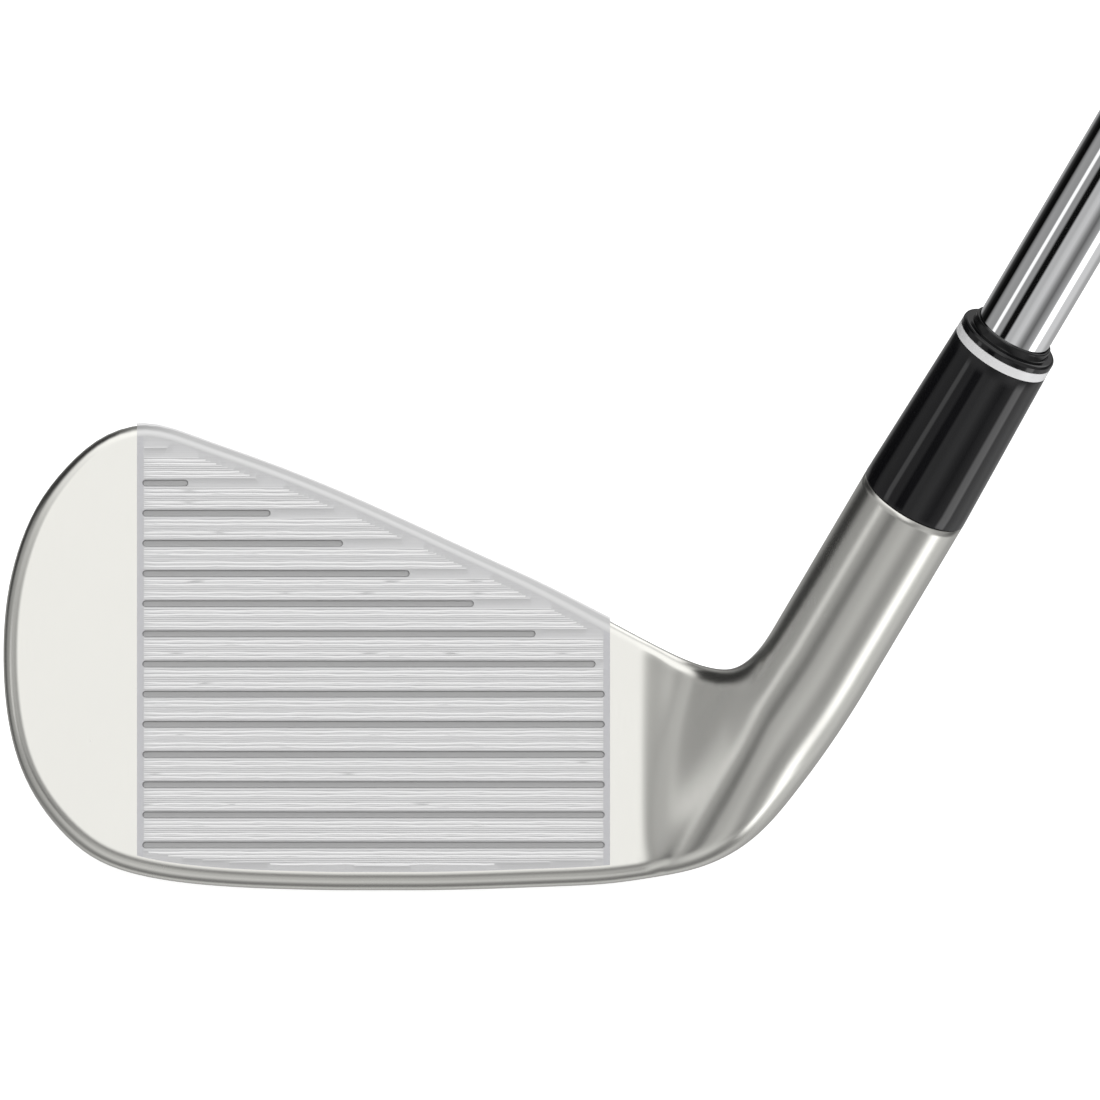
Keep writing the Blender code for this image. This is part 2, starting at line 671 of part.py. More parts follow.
def shaft_profile():
    outer = [(SHAFT_TIP, TIP_RADIUS - TIP_CHAMFER), (SHAFT_TIP + TIP_CHAMFER, TIP_RADIUS)]
    outer += [(t, shaft_radius(t)) for t in (HOSEL_TOP, FERRULE_TOP, FIRST_STEP)]
    for i in range(STEP_COUNT):
        foot = FIRST_STEP + i * STEP_PITCH
        radius = shaft_radius(foot + STEP_RAMP)
        outer += [(foot + STEP_RAMP, radius), (foot + STEP_PITCH, radius)]
    outer[-1] = (SHAFT_BUTT, BUTT_RADIUS)
    last_step = FIRST_STEP + STEP_COUNT * STEP_PITCH
    inner = [(SHAFT_BUTT, BUTT_RADIUS - BUTT_WALL), (last_step, BUTT_RADIUS - BUTT_WALL),
             (FIRST_STEP, TIP_PARALLEL_RADIUS - BUTT_WALL), (SHAFT_TIP, TIP_RADIUS - TIP_WALL)]
    return outer + inner


def sleeve(start, end, inner, outer):
    """Profile of a plain tube with constant wall between two radius functions."""
    return [(start, outer(start)), (end, outer(end)), (end, inner(end)), (start, inner(start))]


def bore_in_shaft_line(start, end, gap):
    """Profile of a solid core that fills the hole a little wider than the shaft."""
    return [(start, 0.0), (start, shaft_radius(start) + gap), (end, shaft_radius(end) + gap),
            (end, 0.0)]


def make_hosel_bore(material):
    bond = BOND_GAP + BOND_THICKNESS + BOND_GAP
    return revolve("hosel_bore_cutter", bore_in_shaft_line(BORE_BOTTOM, HOSEL_TOP + 2.0, bond),
                   material)


def make_back_parts(tungsten, metal, foam, elastomer):
    seat = WEIGHT_BORE[0] + WEIGHT_SEAT_GAP
    prism("toe_weight", disc_outline(WEIGHT_U, WEIGHT_V, WEIGHT_RADIUS, SMALL_ROUND_SEGMENTS),
          seat, seat + WEIGHT_LENGTH, tungsten)
    prism("badge_tape", badge_outline(BADGE_TAPE_INSET), *BADGE_TAPE, foam)
    prism("cavity_badge", badge_outline(0.0), *BADGE_PLATE, metal)
    corners = [(DAMPER_U[0], DAMPER_V[0]), (DAMPER_U[1], DAMPER_V[0]),
               (DAMPER_U[1], DAMPER_V[1]), (DAMPER_U[0], DAMPER_V[1])]
    prism("cavity_damper", corners, *DAMPER_W, elastomer)


def make_shaft(chrome, epoxy, plug_metal, film):
    revolve("shaft_tube", shaft_profile(), chrome)
    revolve("shaft_epoxy", sleeve(SHAFT_TIP + 1.0, HOSEL_TOP - 0.2,
                                  lambda t: shaft_radius(t) + BOND_GAP,
                                  lambda t: shaft_radius(t) + BOND_GAP + BOND_THICKNESS), epoxy)
    plug_radius = TIP_RADIUS - TIP_WALL - PLUG_GAP
    plug_end = PLUG_START + PLUG_LENGTH
    revolve("tip_plug", [(PLUG_START, 0.0), (PLUG_START, plug_radius), (plug_end, plug_radius),
                         (plug_end, 0.0)], plug_metal)
    label_start = FIRST_STEP + LABEL_STEP * STEP_PITCH + LABEL_MARGIN
    label_end = label_start + STEP_PITCH - 2.0 * LABEL_MARGIN
    revolve("shaft_label", sleeve(label_start, label_end, lambda t: shaft_radius(t) + BOND_GAP,
                                  lambda t: shaft_radius(t) + BOND_GAP + LABEL_THICKNESS), film)


def make_ferrule(black, white):
    barrel_end = FERRULE_BASE + BARREL_LENGTH
    ring_base = barrel_end + FERRULE_GAP
    ring_end = ring_base + RING_LENGTH
    cap_base = ring_end + FERRULE_GAP
    cap_end = cap_base + CAP_LENGTH

    def outer(t):
        share = (t - FERRULE_BASE) / (cap_end - FERRULE_BASE)
        return mix(FERRULE_BASE_RADIUS, FERRULE_TOP_RADIUS, share)

    def inner(t):
        return shaft_radius(t) + BOND_GAP

    revolve("ferrule_barrel", sleeve(FERRULE_BASE, barrel_end, inner, outer), black)
    revolve("ferrule_ring", sleeve(ring_base, ring_end, inner, outer), white)
    rim = outer(cap_base)
    lip = cap_base + CAP_LIP
    collar = inner(cap_end) + COLLAR_WALL
    revolve("ferrule_cap", [
        (cap_base, rim), (lip - 2.0 * CAP_EDGE, rim), (lip, rim - CAP_EDGE),
        (lip + CAP_EDGE, rim - 3.0 * CAP_EDGE), (lip + CAP_EDGE, collar + CAP_EDGE),
        (lip + 2.0 * CAP_EDGE, collar), (cap_end - CAP_EDGE, collar),
        (cap_end, collar - CAP_EDGE), (cap_end, inner(cap_end)), (cap_base, inner(cap_base)),
    ], black)


def make_grip(rubber, cap_rubber, paper):
    tape_inner = BUTT_RADIUS + BOND_GAP
    tape_outer = tape_inner + GRIP_TAPE_THICKNESS
    bore = tape_outer + BOND_GAP
    revolve("grip_tape", sleeve(GRIP_TAPE_START, GRIP_TAPE_END, lambda t: tape_inner,
                                lambda t: tape_outer), paper)
    cap_start = GRIP_END - GRIP_CAP_LENGTH
    sleeve_end = cap_start - GRIP_GAP
    swell = [(GRIP_MOUTH + t, GRIP_MOUTH_RADIUS + growth) for t, growth in GRIP_SWELL]
    revolve("grip_sleeve", swell + [(sleeve_end, GRIP_BUTT_RADIUS), (sleeve_end, bore),
                                    (GRIP_MOUTH, bore)], rubber)
    floor = SHAFT_BUTT + 3.0 * GRIP_GAP
    revolve("grip_cap", [
        (cap_start, GRIP_BUTT_RADIUS), (GRIP_END - CAP_ROUND, GRIP_BUTT_RADIUS),
        (GRIP_END - 0.3 * CAP_ROUND, GRIP_BUTT_RADIUS - 0.3 * CAP_ROUND),
        (GRIP_END, GRIP_BUTT_RADIUS - CAP_ROUND), (GRIP_END, VENT_RADIUS),
        (floor, VENT_RADIUS), (floor, bore), (cap_start, bore),
    ], cap_rubber)


def build():
    for obj in list(bpy.data.objects):
        bpy.data.objects.remove(obj)

    steel = make_material("forged_steel", (0.71, 0.70, 0.67), 0.16, 1.0)
    blasted = make_material("face_steel", (0.60, 0.60, 0.59), 0.38, 1.0)
    tungsten = make_material("tungsten", (0.32, 0.32, 0.33), 0.35, 1.0)
    badge_metal = make_material("badge_metal", (0.45, 0.45, 0.46), 0.30, 1.0)
    foam = make_material("badge_tape", (0.08, 0.08, 0.08), 0.80, 0.0)
    elastomer = make_material("elastomer", (0.03, 0.03, 0.03), 0.60, 0.0)
    black_gloss = make_material("ferrule_black", (0.008, 0.008, 0.009), 0.08, 0.0)
    white_gloss = make_material("ferrule_white", (0.78, 0.78, 0.78), 0.22, 0.0)
    chrome = make_material("shaft_chrome", (0.80, 0.81, 0.82), 0.05, 1.0)
    epoxy = make_material("epoxy", (0.55, 0.48, 0.33), 0.45, 0.0)
    plug_metal = make_material("plug_metal", (0.55, 0.42, 0.20), 0.40, 1.0)
    label_film = make_material("label_film", (0.30, 0.31, 0.33), 0.35, 0.0)
    rubber = make_material("grip_rubber", (0.02, 0.02, 0.02), 0.75, 0.0)
    cap_rubber = make_material("cap_rubber", (0.03, 0.03, 0.03), 0.55, 0.0)
    paper = make_material("grip_tape", (0.75, 0.70, 0.58), 0.80, 0.0)

    head = make_head(steel)
    cut(head, prism("plate_pocket_cutter", plate_outline(PLATE_GAP), -1.0,
                    PLATE_THICKNESS + PLATE_FLOOR_GAP, steel))
    bore_outline = disc_outline(WEIGHT_U, WEIGHT_V, WEIGHT_RADIUS + WEIGHT_SIDE_GAP,
                                SMALL_ROUND_SEGMENTS)
    cut(head, prism("weight_bore_cutter", bore_outline, *WEIGHT_BORE, steel))
    cut(head, make_hosel_bore(steel))

    make_plate(blasted)
    make_back_parts(tungsten, badge_metal, foam, elastomer)
    make_shaft(chrome, epoxy, plug_metal, label_film)
    make_ferrule(black_gloss, white_gloss)
    make_grip(rubber, cap_rubber, paper)


build()
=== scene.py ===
"""Looks of the iron golf club: finished meshes, materials, studio and camera.

Shapes are written in face coordinates in millimetres, U towards the heel, V up the face and W out
of the face, and are turned into the club's frame in metres by to_world.
"""

import math

import bmesh
import bpy
import numpy as np
from mathutils import Matrix, Vector
from mathutils.geometry import delaunay_2d_cdt


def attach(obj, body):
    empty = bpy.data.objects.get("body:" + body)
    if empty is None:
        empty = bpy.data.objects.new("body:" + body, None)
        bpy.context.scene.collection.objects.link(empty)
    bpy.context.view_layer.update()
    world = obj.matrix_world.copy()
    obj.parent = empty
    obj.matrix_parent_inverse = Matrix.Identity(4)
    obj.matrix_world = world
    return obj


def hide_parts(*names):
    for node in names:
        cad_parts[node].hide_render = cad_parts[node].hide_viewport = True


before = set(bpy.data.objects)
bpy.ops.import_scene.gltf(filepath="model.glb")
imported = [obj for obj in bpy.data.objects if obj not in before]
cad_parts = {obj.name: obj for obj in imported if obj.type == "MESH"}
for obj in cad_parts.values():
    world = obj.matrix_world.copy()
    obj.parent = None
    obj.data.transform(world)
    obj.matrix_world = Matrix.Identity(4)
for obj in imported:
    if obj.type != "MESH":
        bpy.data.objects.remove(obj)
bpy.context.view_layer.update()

MM = 0.001

# ---------------------------------------------------------------- sizes shared with the solids
LOFT = math.radians(24.0)
LIE = math.radians(61.7)
UPPER_OUTLINE = (
    (54.2, 39.9), (51.16, 34.79), (48.12, 29.63), (46.0, 26.9), (43.6, 25.42), (41.2, 25.45),
    (38.5, 26.25), (34.1, 28.3), (28.0, 31.55), (19.3, 36.2), (10.5, 40.35), (-1.2, 45.7),
    (-12.8, 50.4), (-21.6, 53.5), (-28.1, 54.95), (-33.2, 53.35), (-37.2, 50.0), (-40.5, 45.8),
    (-43.0, 40.4), (-44.6, 33.6),
)
LOWER_OUTLINE = (
    (-45.0, 27.2), (-44.4, 19.1), (-42.4, 12.2), (-39.0, 6.8), (-33.8, 2.25), (-27.4, 0.05),
    (-20.0, -0.95), (-10.0, -1.45), (0.0, -1.6), (12.0, -1.45), (22.2, -1.1), (28.5, -0.75),
    (34.0, 0.0), (39.7, 1.25), (45.5, 4.25), (51.3, 10.4), (55.6, 16.3), (59.75, 22.78),
    (62.79, 27.94), (65.8, 33.1),
)
SOLE_LOW = -1.57
TOE_PIVOT = (-20.0, 24.0)
HEEL_PIVOT = (41.9, 33.3)
SPINE_HEEL_V = 13.6
SPINE_BEND_U = 12.0
NECK_BASE = np.array((37.4, -1.85, -6.58))
NECK_RADIUS = 6.68
HOSEL_RADIUS = 6.78
HOSEL_TOP = 59.5
TOPLINE_ROUND = 1.3
TOE_ROUND = 1.9
LEADING_EDGE_ROUND = 2.25
CROTCH_ROUND = 3.4
TOPLINE_DEPTH = 6.5
CROTCH_DEPTH = 9.0
SOLE_DEPTH = 17.5
HEEL_DEPTH = 13.0
BACK_ROUND = 1.3
PAD_START = 8.3
PAD_END = 9.6
BEVEL_START = LEADING_EDGE_ROUND + 0.3
BEVEL_ANGLE = math.radians(6.0)
TRAILING_ANGLE = math.radians(38.0)
CAVITY_FLOOR = 4.2
CAVITY_RIM_TOP = 3.6
CAVITY_RIM_SOLE = 17.0
CAVITY_LIP_SOLE = 14.0
CAVITY_WALL_TOP = 2.6
CAVITY_WALL_SOLE = 5.0
HEEL_RIM = 7.0
HEEL_WALL = 3.5
HEEL_WALL_TOP = 5.0
HEEL_SPINE_DEPTH = 9.5
NECK_EDGE_DEPTH = 5.0
CAVITY_HEEL_START = 17.0
CAVITY_HEEL_END = 28.0
# Where the section turns into the heel's by U, and into the neck's by the angle at the heel.
HEEL_FADE = (33.0, 47.0)
NARROW_FADE = (14.0, 42.0)
NECK_FADE = (0.0, 0.6)
MORPH_FADE = (0.05, 0.85)
# Where the toe's section turns into the sole's: by V, then its edge round by the angle.
TOE_LOW_FADE = (-24.0, -3.0)
TOE_ROUND_FADE = (0.2, 1.0)
TOE_EDGE_FADE = (1.9, 2.7)
# Where the outline is cut into the stretches that each kind of section follows.
BLADE_TOP_OVERLAP = 1.1
BLADE_SOLE_OVERLAP = 8.1
TOE_OVERLAP = 3.0
CROTCH_START_U = 38.0
HEEL_START_U = 36.0
# Least angle between rows of the toe, least rim around the cavity, greatest share of a section
# that its wall may take, and slope of the surface beside the neck.
ROW_GAP = 0.012
LEAST_RIM = 0.8
WALL_SHARE = 0.9
NECK_DROP = 4.0
WEIGHT_U, WEIGHT_V = -24.0, 11.2
WEIGHT_RADIUS = 3.6
WEIGHT_DEPTHS = (5.2, 15.2)
BADGE_U = (-30.0, 12.0)
BADGE_V = 23.6
BADGE_TOP_DROP = 10.2
BADGE_TOE_U = -19.0
BADGE_PLATE = (4.6, 5.9)
SHAFT_TIP = 27.0
SHAFT_BUTT = 963.0
TIP_RADIUS = 4.51
FERRULE_EXIT_RADIUS = 4.7
TIP_PARALLEL_RADIUS = 4.78
BUTT_RADIUS = 7.62
FIRST_STEP = 284.0
STEP_PITCH = 34.0
STEP_COUNT = 12
STEP_RAMP = 1.6
TIP_WALL = 0.75
BUTT_WALL = 0.37
BOND_GAP = 0.05
FERRULE_GAP = 0.05
FERRULE_BASE = HOSEL_TOP + 0.1
FERRULE_TOP = HOSEL_TOP + 25.4
BARREL_LENGTH = 21.9
RING_LENGTH = 1.2
CAP_LENGTH = 2.0
FERRULE_BASE_RADIUS = 6.8
FERRULE_TOP_RADIUS = 6.12
GRIP_MOUTH = 698.0
GRIP_END = 965.0
GRIP_MOUTH_RADIUS = 8.9
GRIP_BUTT_RADIUS = 13.25
GRIP_SWELL = ((0.0, -0.5), (0.6, 0.0), (70.0, 1.25), (150.0, 2.65), (215.0, 3.7), (250.0, 4.1))
GRIP_CAP_LENGTH = 5.0
GRIP_BORE = 7.9
VENT_RADIUS = 1.3
LABEL_STEP = 9
LABEL_MARGIN = 3.5
LABEL_FILM = 0.12

# ---------------------------------------------------------------- sizes of the finish
# The hollow between the face and the neck, its dip under the crotch and a fainter one low down.
BLEND_START_U = 32.04
BLEND_RAMP = 0.57
BLEND_EASE = 0.9
CREST_ACROSS = 3.0
CROTCH_V = 26.2
CROTCH_DIP = 1.18
CROTCH_REACH = 9.6
CROTCH_SHAPE = (5.4, 8.0)
LOW_V = 9.0
LOW_DIP = 0.14
LOW_REACH = 9.4
MILLED_HALF = 28.74
HOSEL_CHAMFER = 0.22
BORE_BOTTOM = 26.0
BORE_RADIUS = 4.94
BORE_CONE = (-0.2, 1.0)
WEIGHT_GAP = 0.05
WEIGHT_POCKET = (4.9, 19.0)
FACE_SLAB = 2.1
FACE_POCKET = 2.3
WELD_REACH = 1e-5
GROOVE_COUNT = 13
GROOVE_FIRST_V = 3.96
GROOVE_PITCH = 3.665
GROOVE_WIDTH = 0.85
GROOVE_DEPTH = 0.45
GROOVE_REACH = 28.1
GROOVE_RIGHT = (28.1, 28.1, 28.1, 28.1, 28.1, 28.1, 27.0, 19.7, 12.2, 4.4, -3.7, -12.5, -22.5)
LINE_OFFSETS = (0.90, 1.34, 2.33, 2.77)
FINE_OFFSETS = (0.62, 1.12, 1.58, 1.83, 2.08, 2.55, 3.03)
LINE_HALF_WIDTH = 0.12
LINE_TOP_HALF_WIDTH = 0.085
LINE_HEIGHT = 0.02
FINE_HALF_WIDTH = 0.085
LINE_REACH = 27.95
LINE_TOP_CLEARANCE = 2.35
LINE_LOW_CLEARANCE = 3.0
LINE_STEP = 1.2
FINE_STEP = 2.0
SHORTEST_LINE = 2.0
# The waves of a laser-cut line: (size, radians per millimetre).
LINE_WAVES = ((0.030, 0.55), (0.018, 1.3), (0.010, 2.9))
# The wall of a score line: (distance inside its edge, height).
SLOT_PROFILE = ((0.02, -0.015), (0.035, -0.05), (0.06, -0.36), (0.09, -0.42),
                (0.15, -GROOVE_DEPTH))
# The topline of the milled zone: share of its width left inside the edge, and depth as a share
# of the width, then how far it stands proud of the polished outline at a few places.
MILLED_EDGE = ((0.86, 0.011), (0.72, 0.039), (0.58, 0.098), (0.45, 0.191), (0.33, 0.315),
               (0.22, 0.446), (0.14, 0.523), (0.07, 0.552), (0.02, 0.574), (0.0, 0.614))
PROUD = ((-28.74, 0.28), (-20.0, 0.12), (0.0, 0.05), (15.0, 0.05), (28.74, 0.42))
# Share of the topline's depth at which the proud edge starts to fade.
PROUD_FADE = 0.4
# The grip's pads: rows along it, columns around it, and the bands at both ends.
PAD_PITCH = 4.4
PAD_ROWS = (0.0, 0.28, 0.5, 1.7, 1.92, 2.2, 2.48, 2.7, 3.9, 4.12)
PAD_FIRST = (0.0, 0.0, 1.0, 1.0, 0.0, 0.0, 0.0, 0.0, 0.0, 0.0)
PAD_SECOND = (0.0, 0.0, 0.0, 0.0, 0.0, 0.0, 0.0, 1.0, 1.0, 0.0)
PAD_COLUMNS = 30
PAD_SPANS = (0.0, 0.12, 0.2, 0.8, 0.88)
PAD_ACROSS = (0.0, 0.0, 1.0, 1.0, 0.0)
PAD_LIFT = 0.3
PAD_MARGINS = (16.0, 12.0)
PLAIN_ROW = 14
GRIP_BAND = ((0.0, 0.0), (0.3, 1.0), (1.1, 1.0), (1.4, 0.0))
# The ferrule's lip and collar, and the end of the grip with its shallow rings.
LIP_LENGTH = 0.95
LIP_ROUND = 0.4
COLLAR_WALL = 0.32
COLLAR_ROUND = 0.18
END_ROUND = 1.8
END_RINGS = (9.2, 5.2)
END_RING_PROFILE = ((0.45, 0.0), (0.25, -0.3), (-0.25, -0.3), (-0.45, 0.0))
# The badge's ribs: where they start, how high each is, then (V, right end) of each.
RIB_LEFT, RIB_WIDTH = -25.0, 1.1
RIBS = ((26.4, 0.0), (29.0, -5.5), (31.6, -11.0))

SIN_LOFT, COS_LOFT = math.sin(LOFT), math.cos(LOFT)
AXIS = np.array((math.cos(LIE), math.sin(LIE) * COS_LOFT, math.sin(LIE) * SIN_LOFT))
AXIS_FLAT = AXIS[:2] / np.linalg.norm(AXIS[:2])
ACROSS = np.array((AXIS_FLAT[1], -AXIS_FLAT[0], 0.0))
FORWARD = np.cross(ACROSS, AXIS)
AXIS_SHARE = float(np.linalg.norm(AXIS[:2]))

# Points that a half section of the head spends on each stretch, and stations along the head.
FRONT_POINTS = 20
ROUND_POINTS = len(MILLED_EDGE)
WALL_POINTS = 22
BACK_ROUND_POINTS = 6
RIM_POINTS = 4
CAVITY_WALL_POINTS = 12
FLOOR_POINTS = 6
NECK_MARKS = np.radians((0.0, 62.0, 84.0, 100.0, 116.0, 180.0))
FLAT_STATIONS = np.linspace(-20.0, MILLED_HALF, 42)
HEEL_STATIONS = np.linspace(MILLED_HALF, HEEL_PIVOT[0], 34)[1:]
BLADE_STATIONS = np.concatenate((FLAT_STATIONS, (MILLED_HALF,), HEEL_STATIONS))
FAN_STATIONS = 40
NECK_STATIONS = 24
TOE_STATIONS = 64
STEP_POINTS = 8
OUTLINE_POINTS = 4000
# Reach over which a slope is measured: along U, by angle and at the crest of the neck.
SLOPE_REACH = 0.3
TURN_REACH = 0.01
CREST_REACH = 0.01


# ---------------------------------------------------------------- curves of the head
def smooth(x, start, end):
    """0 before start, 1 after end, and an S-curve between them."""
    t = np.clip((np.asarray(x, float) - start) / (end - start), 0.0, 1.0)
    return t * t * (3.0 - 2.0 * t)


def mix(a, b, share):
    return a + (b - a) * share


def steps_to(start, end, count):
    """Even steps from start to end, without the start itself."""
    return np.linspace(start, end, count + 1)[1:]


def slope_at(x, xs, ys, reach):
    """Slope of a sampled curve at x, measured over reach on both sides."""
    return (np.interp(x + reach, xs, ys) - np.interp(x - reach, xs, ys)) / (2.0 * reach)


def spline(points, count):
    """Natural cubic spline through the points, sampled evenly along its chord."""
    pts = np.array(points, float)
    chord = np.concatenate(([0.0], np.cumsum(np.linalg.norm(np.diff(pts, axis=0), axis=1))))
    h = np.diff(chord)
    n = len(pts)
    system = np.eye(n)
    target = np.zeros((n, 2))
    for i in range(1, n - 1):
        system[i, i - 1:i + 2] = h[i - 1], 2.0 * (h[i - 1] + h[i]), h[i]
        target[i] = 6.0 * ((pts[i + 1] - pts[i]) / h[i] - (pts[i] - pts[i - 1]) / h[i - 1])
    bend = np.linalg.solve(system, target)
    s = np.linspace(0.0, chord[-1], count)
    k = np.clip(np.searchsorted(chord, s, side="right") - 1, 0, n - 2)
    a = ((chord[k + 1] - s) / h[k])[:, None]
    b = 1.0 - a
    bow = ((a ** 3 - a) * bend[k] + (b ** 3 - b) * bend[k + 1]) * (h[k] ** 2)[:, None] / 6.0
    return a * pts[k] + b * pts[k + 1] + bow


OUTLINE = spline(UPPER_OUTLINE + LOWER_OUTLINE, OUTLINE_POINTS)
TOE_INDEX = int(np.argmin(OUTLINE[:, 0]))
UPPER = OUTLINE[:TOE_INDEX + 1]
LOWER = OUTLINE[TOE_INDEX:]
BLADE_TOP = UPPER[UPPER[:, 0] < HEEL_PIVOT[0] + BLADE_TOP_OVERLAP]
BLADE_SOLE = LOWER[LOWER[:, 0] < HEEL_PIVOT[0] + BLADE_SOLE_OVERLAP]


def branch_v(branch, u):
    """Height and stretch (1 / cosine of the slope) of a branch of the outline at u."""
    us, vs = branch[np.argsort(branch[:, 0])].T
    return float(np.interp(u, us, vs)), math.hypot(1.0, slope_at(u, us, vs, SLOPE_REACH))


def top_v(u):
    return branch_v(BLADE_TOP, u)[0]


def reach_at(angle, angles, reaches):
    """Distance of an edge from its pivot in a direction, and its stretch there."""
    reach = float(np.interp(angle, angles, reaches))
    return reach, math.hypot(1.0, slope_at(angle, angles, reaches, TURN_REACH) / reach)


def polar_edge(branch, pivot, angle):
    """Distance and stretch of the branch from the pivot; angle is counted from straight down."""
    offset = branch - np.array(pivot)
    angles = np.arctan2(offset[:, 0], -offset[:, 1])
    order = np.argsort(angles)
    return reach_at(angle, angles[order], np.linalg.norm(offset, axis=1)[order])


def neck_offset(u, v):
    """Distance right of the projected neck axis, and distance along the axis."""
    du, dv = u - NECK_BASE[0], v - NECK_BASE[1]
    return du * ACROSS[0] + dv * ACROSS[1], (du * AXIS_FLAT[0] + dv * AXIS_FLAT[1]) / AXIS_SHARE


def neck_radius(t):
    return NECK_RADIUS + (HOSEL_RADIUS - NECK_RADIUS) * np.clip(t / HOSEL_TOP, 0.0, 1.0)


def neck_front(u, v):
    """Height of the front of the neck over the plane of the face, dropping away beside it."""
    across, along = neck_offset(u, v)
    radius = neck_radius(along)
    inside = np.sqrt(np.clip(1.0 - (across / radius) ** 2, 0.0, 1.0))
    beyond = np.clip(np.abs(across) - radius, 0.0, None)
    return NECK_BASE[2] + AXIS[2] * along + (radius * inside - NECK_DROP * beyond) / AXIS_SHARE


def front_height(u, v):
    """Height of the front of the head: flat, then a hollow that rises and turns over the neck.

    The hollow's slope builds up over BLEND_RAMP of its width and turns to the neck's own after
    BLEND_EASE. Under the crotch the hollow is deeper, most of all where CROTCH_SHAPE peaks.
    """
    u, v = np.asarray(u, float), np.asarray(v, float)
    crest = NECK_BASE[0] + (ACROSS[1] * (NECK_BASE[1] - v) - CREST_ACROSS) / ACROSS[0]
    width = np.maximum(crest - BLEND_START_U, 1.0)
    height = np.maximum(neck_front(crest, v), 0.0)
    end = (neck_front(crest + CREST_REACH, v) - neck_front(crest, v)) / CREST_REACH * width
    x = np.clip((u - BLEND_START_U) / width, 0.0, 1.0)
    rest = 1.0 - BLEND_EASE
    middle = (height - 0.5 * end * rest) / (1.0 - BLEND_RAMP / 3.0 - 0.5 * rest)
    ramp = np.clip(x / BLEND_RAMP, 0.0, 1.0)
    turn = np.clip((x - BLEND_EASE) / rest, 0.0, 1.0)
    rise = BLEND_RAMP * (ramp ** 2 - ramp ** 3 / 3.0) + np.clip(x - BLEND_RAMP, 0.0, 1.0)
    hollow = middle * rise + (end - middle) * rest * (turn ** 3 - 0.5 * turn ** 4)
    left, right = CROTCH_SHAPE
    peak = (left / (left + right)) ** left * (right / (left + right)) ** right
    dip = CROTCH_DIP * np.exp(-((v - CROTCH_V) / CROTCH_REACH) ** 2)
    dip = dip * x ** left * (1.0 - x) ** right
    low = LOW_DIP * np.exp(-((v - LOW_V) / LOW_REACH) ** 2) * 16.0 * (x * (1.0 - x)) ** 2
    hollow = np.maximum(hollow - dip / peak - low, 0.0)
    return np.where(u < crest, hollow, neck_front(u, v))


DEPTHS = np.linspace(0.0, 24.0, 2401)
SLOPES = np.interp(
    DEPTHS,
    (LEADING_EDGE_ROUND, BEVEL_START, PAD_START, PAD_END, SOLE_DEPTH),
    (0.0, BEVEL_ANGLE, LOFT, LOFT, TRAILING_ANGLE),
)
SOLE_RISE = np.concatenate(([0.0], np.cumsum(np.tan(SLOPES))[:-1])) * (DEPTHS[1] - DEPTHS[0])


def sole_rise(depth):
    """How far the sole lies inside the outline at a depth behind the front."""
    return np.interp(depth, DEPTHS, SOLE_RISE)


ORIGIN_V = SOLE_LOW + float(sole_rise(0.5 * (PAD_START + PAD_END)))
ORIGIN_W = -0.5 * (PAD_START + PAD_END)


def to_world(p):
    """Face coordinates (U, V, W) in millimetres to the club's frame in metres."""
    p = np.asarray(p, float)
    v, w = p[..., 1] - ORIGIN_V, p[..., 2] - ORIGIN_W
    y = v * SIN_LOFT - w * COS_LOFT
    z = v * COS_LOFT + w * SIN_LOFT
    return np.stack((p[..., 0], y, z), axis=-1) * MM


def turned(direction):
    """A direction in face coordinates as a unit vector of the club's frame."""
    d = np.asarray(direction, float)
    return np.array((d[0], d[1] * SIN_LOFT - d[2] * COS_LOFT, d[1] * COS_LOFT + d[2] * SIN_LOFT))


FACE_NORMAL = turned((0.0, 0.0, 1.0))


def proud_at(u):
    """How far the milled topline stands out of the polished outline."""
    return float(np.interp(u, *zip(*PROUD)))


